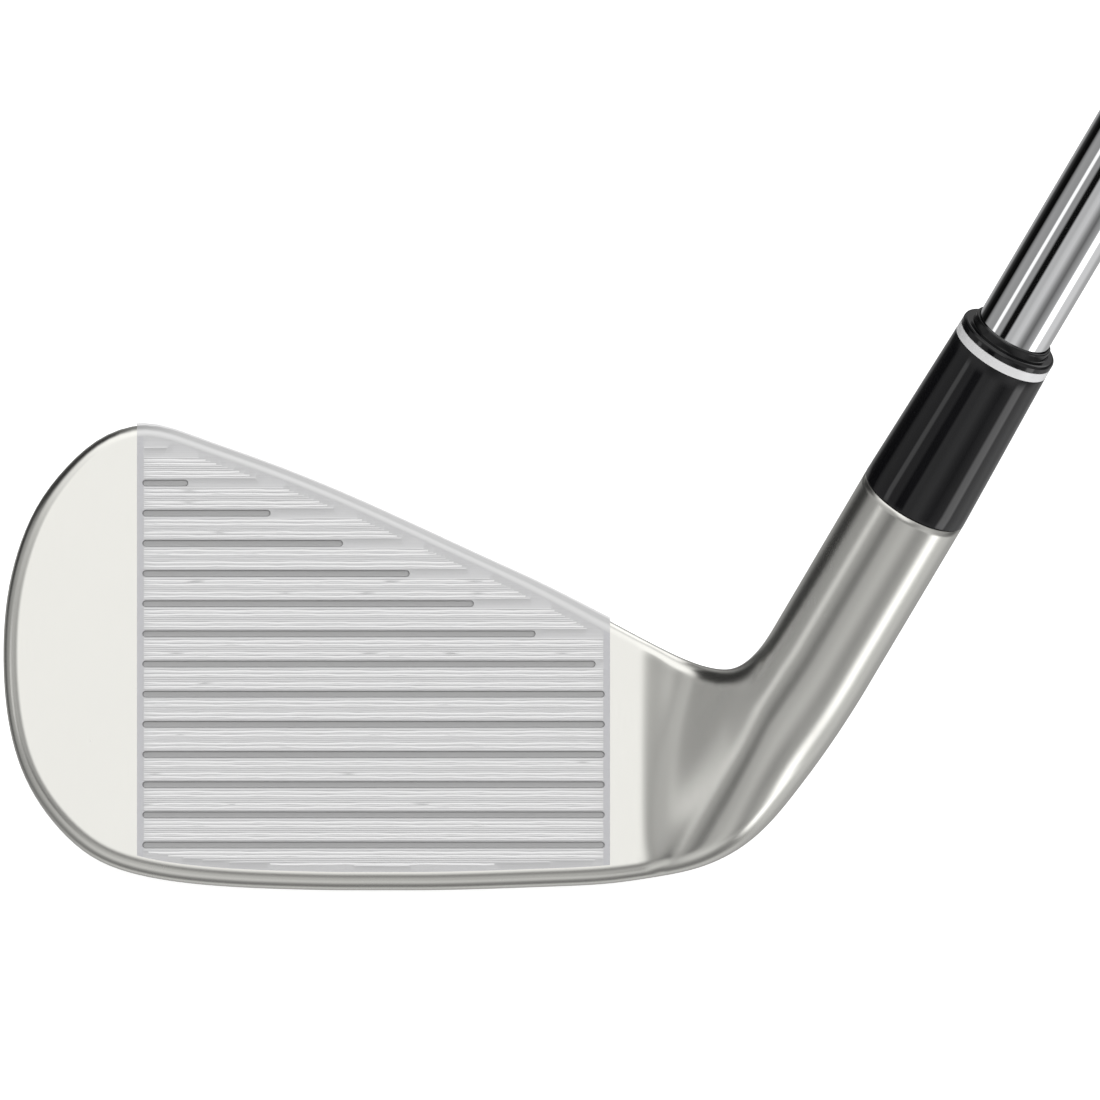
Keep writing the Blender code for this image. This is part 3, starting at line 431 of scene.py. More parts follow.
def half_section(spine, edge, stretch, shape, spine_back, morph, proud=None, square=None):
    """Points of half a section in face coordinates.

    shape holds the edge's round radius, depth, tilt share (0 a wall square to the face,
    1 the full sole), rim width, lip depth and width of the wall inside the rim. spine_back
    is W at the back of the spine, and morph blends the section into the round neck. A number
    in proud gives the milled topline, standing out by it at the front and fading to the back,
    and square the stretch of an edge round that runs straight down instead of towards the spine.
    """
    radius, depth, tilt, rim, lip, wall = shape
    spine, edge = np.array(spine), np.array(edge)
    length = float(np.linalg.norm(edge - spine))
    inward = (spine - edge) / length
    turn = steps_to(0.0, 1.0, ROUND_POINTS) * math.pi / 2.0
    front = np.linspace(length, radius * stretch, FRONT_POINTS)
    rounded = radius * (1.0 - np.sin(turn))
    drop = radius * (1.0 - np.cos(turn))
    out = 0.0
    if proud is not None:
        share, depth_share = np.array(MILLED_EDGE).T
        rounded = share * (radius + proud) - proud
        drop = depth_share * radius
        out = proud
    pads = steps_to(radius, depth - BACK_ROUND, WALL_POINTS)
    fade = smooth(pads, PROUD_FADE * depth, depth - BACK_ROUND)
    walls = tilt * sole_rise(pads) - out * (1.0 - fade)
    turn = steps_to(0.0, 1.0, BACK_ROUND_POINTS) * math.pi / 2.0
    back_depth = depth - BACK_ROUND + BACK_ROUND * np.sin(turn)
    back_in = tilt * sole_rise(back_depth) + BACK_ROUND * (1.0 - np.cos(turn))
    start = back_in[-1]
    rim = max(rim, start + LEAST_RIM)
    wall = min(wall, WALL_SHARE * length / stretch - rim)
    rims = steps_to(start, rim, RIM_POINTS)
    share = steps_to(0.0, 1.0, CAVITY_WALL_POINTS)
    walls_in = rim + wall * share
    floor = steps_to(rim + wall, length / stretch, FLOOR_POINTS)
    edge_front = front_height(*edge)
    rim_depth = mix(depth, lip, smooth(rims, start, rim))
    wall_depth = mix(lip, edge_front - spine_back, smooth(share, 0.0, 1.0))
    floor_depth = np.full(FLOOR_POINTS, edge_front - spine_back)
    inset = np.concatenate((front,) + tuple(
        part * stretch for part in (rounded, walls, back_in, rims, walls_in, floor)))
    inset[-1] = length
    below = np.concatenate((np.zeros(FRONT_POINTS), drop, pads, back_depth, rim_depth,
                            wall_depth, floor_depth))
    flat = edge + inset[:, None] * inward
    count = len(inset)
    front_count = FRONT_POINTS + ROUND_POINTS
    if square is not None:
        band = slice(FRONT_POINTS - 1, front_count)
        flat[band] = edge + (inset[band] * square / stretch)[:, None] * np.array((0.0, -1.0))
    over = np.full(count, edge_front)
    over[:front_count] = front_height(flat[:front_count, 0], flat[:front_count, 1])
    box = np.column_stack((flat, over - below))
    if morph == 0.0:
        return box
    return mix(box, neck_half(spine, edge, count), morph)


def neck_angles(count):
    """Angles about the neck axis, from its front, of the points of a half section."""
    ends = np.cumsum((0, FRONT_POINTS - 1, ROUND_POINTS, WALL_POINTS, BACK_ROUND_POINTS))
    return np.interp(np.arange(count), np.append(ends, count - 1), NECK_MARKS)


def neck_half(spine, edge, count):
    """Half of the neck's section, stretched so that it reaches the outline at its edge."""
    angle = neck_angles(count)
    flat = spine + np.sin(angle)[:, None] * (edge - spine)
    middle, outer = (NECK_BASE[2] + AXIS[2] * neck_offset(*spot)[1] for spot in (spine, edge))
    radius = neck_radius(neck_offset(*edge)[1]) / AXIS_SHARE
    w = mix(middle, outer, np.sin(angle)) + radius * np.cos(angle)
    return np.column_stack((flat, w))


def toe_shape(angle, edge):
    """Edge shape around the toe; angle runs from 0 (top) to pi (sole)."""
    low = smooth(-edge[1], *TOE_LOW_FADE)
    radius = mix(TOPLINE_ROUND, TOE_ROUND, smooth(angle, *TOE_ROUND_FADE))
    radius = mix(radius, LEADING_EDGE_ROUND, smooth(angle, *TOE_EDGE_FADE))
    return (radius, mix(TOPLINE_DEPTH, SOLE_DEPTH, low), low,
            mix(CAVITY_RIM_TOP, CAVITY_RIM_SOLE, low), mix(TOPLINE_DEPTH, CAVITY_LIP_SOLE, low),
            mix(CAVITY_WALL_TOP, CAVITY_WALL_SOLE, low))


def upper_shape(heel, neck, edge):
    """Edge shape along the topline and crotch."""
    depth = mix(mix(TOPLINE_DEPTH, CROTCH_DEPTH, heel), neck_edge_depth(edge), neck)
    return (mix(TOPLINE_ROUND, CROTCH_ROUND, heel), depth, 0.0, CAVITY_RIM_TOP, depth,
            mix(CAVITY_WALL_TOP, HEEL_WALL_TOP, heel))


def lower_shape(heel, neck, edge):
    """Edge shape along the sole and round the heel."""
    blade_depth = mix(SOLE_DEPTH, HEEL_DEPTH, heel)
    lip = mix(CAVITY_LIP_SOLE, HEEL_DEPTH, heel)
    depth = neck_edge_depth(edge)
    return (LEADING_EDGE_ROUND, mix(blade_depth, depth, neck), 1.0 - neck,
            mix(mix(CAVITY_RIM_SOLE, HEEL_RIM, heel), CAVITY_RIM_TOP, neck),
            mix(lip, depth, neck), mix(CAVITY_WALL_SOLE, HEEL_WALL, heel))


def neck_edge_depth(edge):
    """Depth of the edge that ends a little behind the middle of the neck."""
    middle = NECK_BASE[2] + AXIS[2] * neck_offset(*edge)[1]
    return max(front_height(*edge) - middle, 0.0) + NECK_EDGE_DEPTH


def head_rings():
    """The rings from the first blade station to the top of the hosel."""
    rings = []
    for number, u in enumerate(BLADE_STATIONS):
        proud = proud_at(u) if number < len(FLAT_STATIONS) else None
        v_top, stretch_top = branch_v(BLADE_TOP, u)
        v_low, stretch_low = branch_v(BLADE_SOLE, u)
        spine = (u, mix(TOE_PIVOT[1], SPINE_HEEL_V, smooth(u, SPINE_BEND_U, HEEL_PIVOT[0])))
        cavity = 1.0 - smooth(u, CAVITY_HEEL_START, CAVITY_HEEL_END)
        back = -mix(HEEL_SPINE_DEPTH, CAVITY_FLOOR, cavity)
        edge = (u, v_top)
        shape = upper_shape(smooth(u, *HEEL_FADE), 0.0, edge)
        upper = half_section(spine, edge, stretch_top, shape, back, 0.0, proud)
        edge = (u, max(v_low, SOLE_LOW))
        shape = lower_shape(smooth(u, *NARROW_FADE), 0.0, edge)
        rings.append((upper, half_section(spine, edge, stretch_low, shape, back, 0.0)))

    crotch = UPPER[UPPER[:, 0] > CROTCH_START_U]
    heel_edge = LOWER[LOWER[:, 0] > HEEL_START_U]
    pivot = np.array(HEEL_PIVOT)
    for angle in steps_to(0.0, math.atan2(ACROSS[0], -ACROSS[1]), FAN_STATIONS):
        direction = np.array((math.sin(angle), -math.cos(angle)))
        inner, stretch_in = polar_edge(crotch, HEEL_PIVOT, angle)
        outer, stretch_out = polar_edge(heel_edge, HEEL_PIVOT, angle)
        spine = pivot + direction * 0.5 * (inner + outer)
        neck = smooth(angle, *NECK_FADE)
        heel = mix(smooth(HEEL_PIVOT[0], *HEEL_FADE), 1.0, neck)
        morph = smooth(angle, *MORPH_FADE)
        along = neck_offset(*spine)[1]
        neck_back = NECK_BASE[2] + AXIS[2] * along - neck_radius(along) / AXIS_SHARE
        back = mix(-HEEL_SPINE_DEPTH, neck_back, neck)
        edge = pivot + direction * inner
        upper = half_section(spine, edge, stretch_in, upper_shape(heel, neck, edge), back, morph)
        edge = pivot + direction * outer
        lower = half_section(spine, edge, stretch_out, lower_shape(1.0, neck, edge), back, morph)
        rings.append((upper, lower))

    reach = neck_offset(*HEEL_PIVOT)[1]
    angle = neck_angles(len(rings[0][0]))
    for share in steps_to(0.0, 1.0, NECK_STATIONS):
        t = mix(reach, HOSEL_TOP, share)
        slide = np.cos(angle)[:, None] * AXIS * (AXIS[2] / AXIS_SHARE) * (1.0 - share)
        rings.append(tuple(
            NECK_BASE + AXIS * t + neck_radius(t) * (
                np.sin(angle)[:, None] * side * ACROSS + np.cos(angle)[:, None] * FORWARD + slide)
            for side in (-1.0, 1.0)))
    return rings


def toe_halves():
    """Half sections turning about the toe pivot from the topline to the sole.

    The second and third results are the rows at the border of the milled zone: one on the
    topline, doubled for the step there, and one on the sole.
    """
    toe = OUTLINE[OUTLINE[:, 0] < TOE_PIVOT[0] + TOE_OVERLAP]
    offset = toe - np.array(TOE_PIVOT)
    turns = np.mod(np.arctan2(-offset[:, 0], offset[:, 1]) + 1.0, 2.0 * math.pi) - 1.0
    reach = np.linalg.norm(offset, axis=1)
    tip = int(np.argmin(toe[:, 0]))
    top_turn = float(np.interp(MILLED_HALF, -toe[:tip, 0], turns[:tip]))
    low = np.arange(tip, len(toe))
    inside = np.array([TOE_PIVOT + (reach[i] - LEADING_EDGE_ROUND) / reach[i] * offset[i]
                       for i in low])
    low_turn = float(np.interp(-MILLED_HALF, inside[:, 0], turns[low]))

    def half(turn, proud=None, square=None):
        near, stretch = reach_at(turn, turns, reach)
        edge = np.array(TOE_PIVOT) + near * np.array((-math.sin(turn), math.cos(turn)))
        return half_section(TOE_PIVOT, edge, stretch, toe_shape(turn, edge), -CAVITY_FLOOR, 0.0,
                            proud, square)

    slope = slope_at(MILLED_HALF, -toe[:tip, 0], toe[:tip, 1], SLOPE_REACH)
    square = math.hypot(1.0, slope)
    regular = steps_to(0.0, math.pi, TOE_STATIONS)[:-1]
    clear = (np.abs(regular - top_turn) > ROW_GAP) & (np.abs(regular - low_turn) > ROW_GAP)
    halves = [half(turn, proud_at(mix(TOE_PIVOT[0], -MILLED_HALF, turn / top_turn)))
              for turn in regular[clear] if turn < top_turn]
    milled_row = len(halves) + 1
    halves.append(half(top_turn, proud_at(-MILLED_HALF), square))
    halves.append(half(top_turn, None, square))
    halves += [half(turn) for turn in regular[clear] if top_turn < turn < low_turn]
    low_row = len(halves) + 1
    last = half(low_turn)
    last[FRONT_POINTS - 1, 0] = -MILLED_HALF
    halves.append(last)
    halves += [half(turn) for turn in regular[clear] if turn > low_turn]
    return halves, milled_row, low_row


# ---------------------------------------------------------------- mesh and node helpers
def shade(mesh, sharp):
    """Smooth shading with edges sharper than an angle in degrees left crisp."""
    mesh.shade_smooth()
    mesh.set_sharp_from_angle(angle=math.radians(sharp))


def add_mesh(name, vertices, faces, material, sharp=35.0):
    """A smooth-shaded mesh object of face-coordinate points."""
    mesh = bpy.data.meshes.new(name)
    mesh.from_pydata([tuple(map(float, v)) for v in to_world(np.array(vertices))], [], faces)
    mesh.validate()
    work = bmesh.new()
    work.from_mesh(mesh)
    bmesh.ops.recalc_face_normals(work, faces=work.faces)
    work.to_mesh(mesh)
    work.free()
    shade(mesh, sharp)
    mesh.materials.append(material)
    obj = bpy.data.objects.new(name, mesh)
    bpy.context.scene.collection.objects.link(obj)
    return obj


def bridge(a, b):
    """Quads between two closed rows of vertices."""
    return [(p, q, s, r) for p, q, r, s in zip(a, a[1:] + a[:1], b, b[1:] + b[:1])]


def next_ids(vertices, points):
    """Add points to a list of vertices, and return their places in it."""
    vertices += points
    return list(range(len(vertices) - len(points), len(vertices)))


def set_flat_normals(mesh, flat_vertices):
    """Give the listed vertices the face's own normal wherever their corner nearly has it."""
    chosen = np.zeros(len(mesh.vertices), bool)
    chosen[flat_vertices] = True
    corners = np.empty(len(mesh.loops), np.int32)
    mesh.loops.foreach_get("vertex_index", corners)
    normals = np.empty(len(mesh.loops) * 3, np.float32)
    mesh.corner_normals.foreach_get("vector", normals)
    normals = normals.reshape(-1, 3)
    normals[chosen[corners] & (normals @ FACE_NORMAL > 0.9)] = FACE_NORMAL
    mesh.normals_split_custom_set(normals.tolist())


def put(tree, kind, links=None, **settings):
    """A shader node with its inputs linked or set from links, and its properties from settings."""
    made = tree.nodes.new(kind)
    for key, value in settings.items():
        setattr(made, key, value)
    for key, value in (links or {}).items():
        socket = made.inputs[key]
        if isinstance(value, bpy.types.NodeSocket):
            tree.links.new(value, socket)
        elif socket.type == "RGBA":
            socket.default_value = (*value, 1.0)
        else:
            socket.default_value = value
    return made


def calc(tree, operation, a, b=0.0, c=0.0):
    """The result of a Math node."""
    return put(tree, "ShaderNodeMath", {0: a, 1: b, 2: c}, operation=operation).outputs[0]


def product(tree, first, *others):
    """The product of several values."""
    for other in others:
        first = calc(tree, "MULTIPLY", first, other)
    return first


def weighted(tree, base, *parts):
    """A base plus shares of other values, each given as (value, share)."""
    for value, share in parts:
        base = calc(tree, "MULTIPLY_ADD", value, share, base)
    return base


def along(tree, vector, direction):
    """The dot product of a vector socket with a fixed direction."""
    made = put(tree, "ShaderNodeVectorMath", {0: vector, 1: tuple(map(float, direction))},
               operation="DOT_PRODUCT")
    return made.outputs["Value"]


def step(tree, value, start, end):
    """A smooth step from 0 at start to 1 at end."""
    made = put(tree, "ShaderNodeMapRange", {"Value": value, "From Min": start, "From Max": end},
               interpolation_type="SMOOTHSTEP")
    return made.outputs["Result"]


def blend(tree, share, a, b):
    """A number mixed from a to b."""
    made = put(tree, "ShaderNodeMix", {"Factor": share, "A": a, "B": b}, data_type="FLOAT")
    return made.outputs["Result"]


def tint(tree, share, a, b):
    """A colour mixed from a to b."""
    return put(tree, "ShaderNodeMix", {0: share, 6: a, 7: b}, data_type="RGBA").outputs[2]


def noise(tree, vector, scale, detail=4.0, roughness=0.55, stretch=(1.0, 1.0, 1.0)):
    """A noise value in 0 to 1; stretch scales the coordinates first."""
    if stretch != (1.0, 1.0, 1.0):
        vector = put(tree, "ShaderNodeVectorMath", {0: vector, 1: stretch},
                     operation="MULTIPLY").outputs[0]
    made = put(tree, "ShaderNodeTexNoise",
               {"Vector": vector, "Scale": scale, "Detail": detail, "Roughness": roughness})
    return made.outputs[0]


FACE_AXES = (np.eye(3), np.zeros(3))
SHAFT_AXES = ((AXIS, ACROSS, FORWARD), NECK_BASE)


def coordinates(tree, axes, base):
    """Object coordinates along three axes from a base point, in metres: a vector and its parts."""
    place = put(tree, "ShaderNodeTexCoord").outputs["Object"]
    base = to_world(base)
    parts = [calc(tree, "SUBTRACT", along(tree, place, turned(d)), float(base @ turned(d)))
             for d in axes]
    return put(tree, "ShaderNodeCombineXYZ", dict(enumerate(parts))).outputs[0], parts


def new_material(name, roughness, metallic=0.0, coat=0.0):
    material = bpy.data.materials.new(name)
    material.use_nodes = True
    tree = material.node_tree
    shader = tree.nodes["Principled BSDF"]
    shader.inputs["Roughness"].default_value = roughness
    shader.inputs["Metallic"].default_value = metallic
    shader.inputs["Coat Weight"].default_value = coat
    shader.inputs["Coat Roughness"].default_value = 0.04
    return material, tree, shader


def finish(tree, shader, colour, rough, height=None, distance=0.0, strength=0.0):
    """Link a shader's colour and roughness, and bump its normal from a height value."""
    tree.links.new(colour, shader.inputs["Base Color"])
    tree.links.new(rough, shader.inputs["Roughness"])
    if height is not None:
        made = put(tree, "ShaderNodeBump",
                   {"Height": height, "Distance": distance, "Strength": strength})
        tree.links.new(made.outputs[0], shader.inputs["Normal"])


# ---------------------------------------------------------------- materials
SATIN_COLOUR = (0.845, 0.838, 0.795)
BLASTED_COLOUR = (0.79, 0.79, 0.79)
# Painted shade for the bevel of the milled topline, and a painted highlight for its crest.
SHADED_BEVEL_COLOUR = (0.66, 0.66, 0.66)
HIGHLIGHT_CREST_COLOUR = (0.86, 0.86, 0.86)
# Painted highlight for the laser-cut ridges, whose smoother finish is in their roughness.
LINE_HIGHLIGHT_COLOUR = (0.98, 0.98, 0.98)
# Painted shade for the inside of the score lines.
GROOVE_SHADE_COLOUR = (0.55, 0.55, 0.55)
# Limits of the milled zone on the head, and depths of the painted shade on the bevel and of the
# painted highlight on the crest of its topline.
ZONE_V = 20.0
ZONE_W = -0.84
SHADED_BEVEL_W = (-0.02, -0.3)
HIGHLIGHT_CREST_W = (-0.64, -0.72)
# Depths over which the painted shade inside the score lines comes in.
GROOVE_W = (-0.04, -0.2)


def satin_steel():
    """Plated steel, with the blasted finish of the milled zone over the topline's round, and bands
    of painted shade and painted highlight down that round.
    """
    material, tree, shader = new_material("satin_steel", 0.24, 1.0)
    place, (u, v, w) = coordinates(tree, *FACE_AXES)
    beside = calc(tree, "LESS_THAN", calc(tree, "ABSOLUTE", u), (MILLED_HALF - 0.005) * MM)
    zone = product(tree, beside, calc(tree, "GREATER_THAN", v, ZONE_V * MM),
                   calc(tree, "GREATER_THAN", w, ZONE_W * MM))
    cloud = noise(tree, place, 90.0, 3.0)
    polish = noise(tree, place, 2600.0, 5.0, 0.6, (1.0, 0.12, 1.0))
    grain = noise(tree, place, 9000.0, 2.0)
    colour = tint(tree, cloud, tuple(0.985 * c for c in SATIN_COLOUR), SATIN_COLOUR)
    # The blasted zone's own tone, then painted shade on the bevel and a painted highlight on the
    # crest, by depth behind the face.
    blasted = BLASTED_COLOUR
    for (start, end), below in ((SHADED_BEVEL_W, SHADED_BEVEL_COLOUR), (HIGHLIGHT_CREST_W, HIGHLIGHT_CREST_COLOUR)):
        blasted = tint(tree, step(tree, w, start * MM, end * MM), blasted, below)
    rough = weighted(tree, 0.235, (polish, 0.03), (cloud, 0.03))
    height = blend(tree, zone, calc(tree, "MULTIPLY", polish, 0.012), grain)
    finish(tree, shader, tint(tree, zone, colour, blasted), blend(tree, zone, rough, 0.46),
           height, 0.000012, 0.5)
    return material


def milled_steel():
    """Blasted face: laser-cut ridges, smoother and lit by a painted highlight, score lines
    darkened by painted shade, and fine cutter marks.
    """
    material, tree, shader = new_material("milled_steel", 0.46, 1.0)
    place, (u, _, w) = coordinates(tree, *FACE_AXES)
    ridge = put(tree, "ShaderNodeAttribute", attribute_name="ridge").outputs["Fac"]
    marks = noise(tree, place, 1400.0, 3.0, 0.6, (0.008, 3.2, 0.1))
    grain = noise(tree, place, 9000.0, 2.0)
    edge = calc(tree, "GREATER_THAN", calc(tree, "ABSOLUTE", u), LINE_REACH * MM)
    base = tint(tree, marks, (0.71, 0.71, 0.715), (0.81, 0.81, 0.815))
    base = tint(tree, edge, base, (0.73, 0.73, 0.75))
    # Painted shade inside the score lines, by depth behind the face.
    deep = step(tree, w, *(limit * MM for limit in GROOVE_W))
    # Ridges take a painted highlight and a lower roughness; score lines take painted shade.
    finish(tree, shader, tint(tree, deep, tint(tree, ridge, base, LINE_HIGHLIGHT_COLOUR), GROOVE_SHADE_COLOUR),
           blend(tree, ridge, 0.46, 0.34), weighted(tree, 0.0, (marks, 0.8), (grain, 0.5)),
           0.000015, 0.5)
    return material


def chrome_plate():
    """Mirror chrome on the shaft, with a faint drawn texture along it."""
    material, tree, shader = new_material("chrome_plate", 0.05, 1.0)
    wrap, _ = coordinates(tree, *SHAFT_AXES)
    drawn = noise(tree, wrap, 1500.0, 3.0, 0.5, (0.02, 1.0, 1.0))
    haze = noise(tree, wrap, 60.0, 3.0)
    finish(tree, shader, tint(tree, haze, (0.885, 0.89, 0.90), (0.905, 0.91, 0.92)),
           weighted(tree, 0.035, (drawn, 0.04), (haze, 0.02)), drawn, 0.000002, 0.3)
    return material


def gloss_plastic(name, dark, light, roughness):
    """Polished celluloid with a slight swirl in tone and haze."""
    material, tree, shader = new_material(name, roughness)
    wrap, _ = coordinates(tree, *SHAFT_AXES)
    swirl = noise(tree, wrap, 220.0, 4.0, 0.6, (0.4, 1.0, 1.0))
    fine = noise(tree, wrap, 4000.0, 3.0)
    finish(tree, shader, tint(tree, swirl, dark, light),
           weighted(tree, roughness, (fine, 0.03), (swirl, 0.02)), fine, 0.000002, 0.3)
    return material


def moulded_rubber(name, dark, light, roughness):
    """Matte rubber with a fine pebble and a little bloom."""
    material, tree, shader = new_material(name, roughness)
    wrap, _ = coordinates(tree, *SHAFT_AXES)
    bloom = noise(tree, wrap, 130.0, 4.0)
    finish(tree, shader, tint(tree, bloom, dark, light),
           weighted(tree, roughness - 0.06, (bloom, 0.12)),
           noise(tree, wrap, 5200.0, 2.0, 0.6), 0.00004, 0.6)
    return material


def brushed_metal(name, dark, light, roughness, stretch=(0.03, 1.0, 1.0)):
    """Metal brushed along U, or turned when the stretch is even."""
    material, tree, shader = new_material(name, roughness, 1.0)
    place, _ = coordinates(tree, *FACE_AXES)
    lines = noise(tree, place, 4200.0, 3.0, 0.6, stretch)
    cloud = noise(tree, place, 150.0, 3.0)
    finish(tree, shader, tint(tree, lines, dark, light),
           weighted(tree, roughness - 0.08, (lines, 0.14), (cloud, 0.06)), lines, 0.00001, 0.5)
    return material


def label_film():
    """Plain silver and charcoal bands printed round the shaft's label."""
    material, tree, shader = new_material("label_print", 0.3, 0.0, 0.6)
    wrap, (t, _, _) = coordinates(tree, *SHAFT_AXES)
    middle = (FIRST_STEP + (LABEL_STEP + 0.5) * STEP_PITCH) * MM
    off = calc(tree, "ABSOLUTE", calc(tree, "SUBTRACT", t, middle))
    band = calc(tree, "GREATER_THAN", off, 0.0088)
    thin = calc(tree, "COMPARE", off, 0.0118, 0.0004)
    speck = noise(tree, wrap, 900.0, 3.0)
    base = tint(tree, speck, (0.10, 0.105, 0.115), (0.13, 0.135, 0.145))
    colour = tint(tree, thin, tint(tree, band, base, (0.55, 0.56, 0.58)), (0.05, 0.05, 0.055))
    finish(tree, shader, colour, weighted(tree, 0.26, (speck, 0.1)))
    return material


# ---------------------------------------------------------------- head
class Shell:
    """Vertices shared wherever they coincide, and faces without repeated corners."""

    def __init__(self):
        self.vertices, self.faces, self.found = [], [], {}

    def add(self, points):
        ids = []
        for point in points:
            key = tuple(np.round(point, 5).tolist())
            if key not in self.found:
                self.found[key] = len(self.vertices)
                self.vertices.append(point)
            ids.append(self.found[key])
        return ids

    def face(self, *corners):
        kept = [c for k, c in enumerate(corners) if c != corners[k - 1]]
        if len(set(kept)) >= 3:
            self.faces.append(tuple(kept))

    def wall(self, ring, other):
        """Quads from one closed row to another, and a lid over the other."""
        for k, i in enumerate(ring):
            self.face(ring[k - 1], i, other[k], other[k - 1])
        self.face(*other)


def combine(obj, others, operation, sharp):
    """Cut the others out of an object or join them to it, and weld what the cut leaves."""
    for other in others:
        modifier = obj.modifiers.new("combine", "BOOLEAN")
        modifier.object = other
        modifier.operation = operation
        modifier.solver = "EXACT"
    graph = bpy.context.evaluated_depsgraph_get()
    obj.data = bpy.data.meshes.new_from_object(obj.evaluated_get(graph))
    obj.modifiers.clear()
    for other in others:
        bpy.data.objects.remove(other)
    work = bmesh.new()
    work.from_mesh(obj.data)
    bmesh.ops.remove_doubles(work, verts=work.verts, dist=WELD_REACH)
    work.to_mesh(obj.data)
    work.free()
    shade(obj.data, sharp)


def make_head(material):
    """The finished head, open where the strike face sits, and the outline of that opening."""
    rings = head_rings()
    halves, milled_row, low_row = toe_halves()
    shell = Shell()
    ring_ids = [(shell.add(upper), shell.add(lower)) for upper, lower in rings]
    rows = [ring_ids[0][0]] + [shell.add(half) for half in halves] + [ring_ids[0][1]]
    count = len(rows[0])
    edge_start = FRONT_POINTS - 1
    last_flat = len(FLAT_STATIONS) - 1
    for k, ((top_a, low_a), (top_b, low_b)) in enumerate(zip(ring_ids[:-1], ring_ids[1:])):
        first = edge_start if k <= last_flat else 0
        for i in range(first, count - 1):
            shell.face(top_a[i], top_b[i], top_b[i + 1], top_a[i + 1])
            shell.face(low_a[i], low_a[i + 1], low_b[i + 1], low_b[i])
    for a, b in zip(rows[:-1], rows[1:]):
        for i in range(edge_start, count - 1):
            shell.face(a[i], a[i + 1], b[i + 1], b[i])
    top, low = ring_ids[-1]
    rim_ring = top + low[-2:0:-1]
    chamfer = []
    centre = NECK_BASE + AXIS * HOSEL_TOP
    for i in rim_ring:
        spot = shell.vertices[i]
        inner = centre + (spot - centre) * (HOSEL_RADIUS - HOSEL_CHAMFER) / HOSEL_RADIUS
        chamfer += shell.add([inner])
        shell.vertices[i] = spot - AXIS * HOSEL_CHAMFER
    shell.wall(rim_ring, chamfer)

    # The opening: along the topline to the toe border, down it, back along the sole and up.
    top_rim = [ring_ids[k][0][edge_start] for k in range(last_flat, 0, -1)]
    top_rim += [row[edge_start] for row in rows[:milled_row + 1]]
    low_rim = [row[edge_start] for row in rows[low_row:]]
    low_rim += [ring_ids[k][1][edge_start] for k in range(1, last_flat + 1)]
    toe_rim = [row[edge_start] for row in rows[milled_row + 1:low_row + 1]]
    spine_top, spine_low = ring_ids[last_flat]
    seam = spine_low[edge_start - 1:0:-1] + spine_top[:edge_start]
    shell.face(*toe_rim)
    opening = top_rim + low_rim + seam
    outline = [tuple(shell.vertices[i][:2]) for i in opening]
    shell.wall(opening, shell.add([np.array((u, v, -FACE_POCKET)) for u, v in outline]))

    used = sorted({i for face in shell.faces for i in face})
    index = {old: new for new, old in enumerate(used)}
    head = add_mesh("forged_head", [shell.vertices[i] for i in used],
                    [tuple(index[i] for i in face) for face in shell.faces], material, 50.0)
    foot, mouth = (HOSEL_TOP + t for t in BORE_CONE)
    bore = revolve("bore", [(BORE_BOTTOM, 0.0), (BORE_BOTTOM, BORE_RADIUS), (foot, BORE_RADIUS),
                            (mouth, BORE_RADIUS + BORE_CONE[1]), (mouth, 0.0)], material, 96)
    pocket = layered("pocket", round_outline(WEIGHT_U, WEIGHT_V, WEIGHT_RADIUS + WEIGHT_GAP),
                     [(0.0, depth) for depth in WEIGHT_POCKET], material)
    combine(head, (bore, pocket), "DIFFERENCE", 50.0)
    mesh = head.data
    height = np.array([v.co for v in mesh.vertices]) @ FACE_NORMAL
    level = float(to_world((0.0, 0.0, 0.0)) @ FACE_NORMAL)
    set_flat_normals(mesh, np.flatnonzero(np.abs(height - level) < 1e-7))
    return head, outline


# ---------------------------------------------------------------- strike face
def stadium(left, right, v, radius, steps=9):
    """Outline of a slot with round ends, the same number of points for any radius."""
    turn = np.linspace(-math.pi / 2.0, math.pi / 2.0, steps)
    ends = [(right + radius * math.cos(a), v + radius * math.sin(a)) for a in turn]
    starts = [(left - radius * math.cos(a), v - radius * math.sin(a)) for a in turn]
    spans = np.linspace(0.0, 1.0, 25)[1:-1]
    upper = [(mix(right, left, s), v + radius) for s in spans]
    lower = [(mix(left, right, s), v - radius) for s in spans]
    return ends + upper + starts + lower


def face_slots():
    """(left, right, v) of the middle line of each score line."""
    half = GROOVE_WIDTH / 2.0
    return [(-GROOVE_REACH + half, right - half, GROOVE_FIRST_V + i * GROOVE_PITCH)
            for i, right in enumerate(GROOVE_RIGHT)]


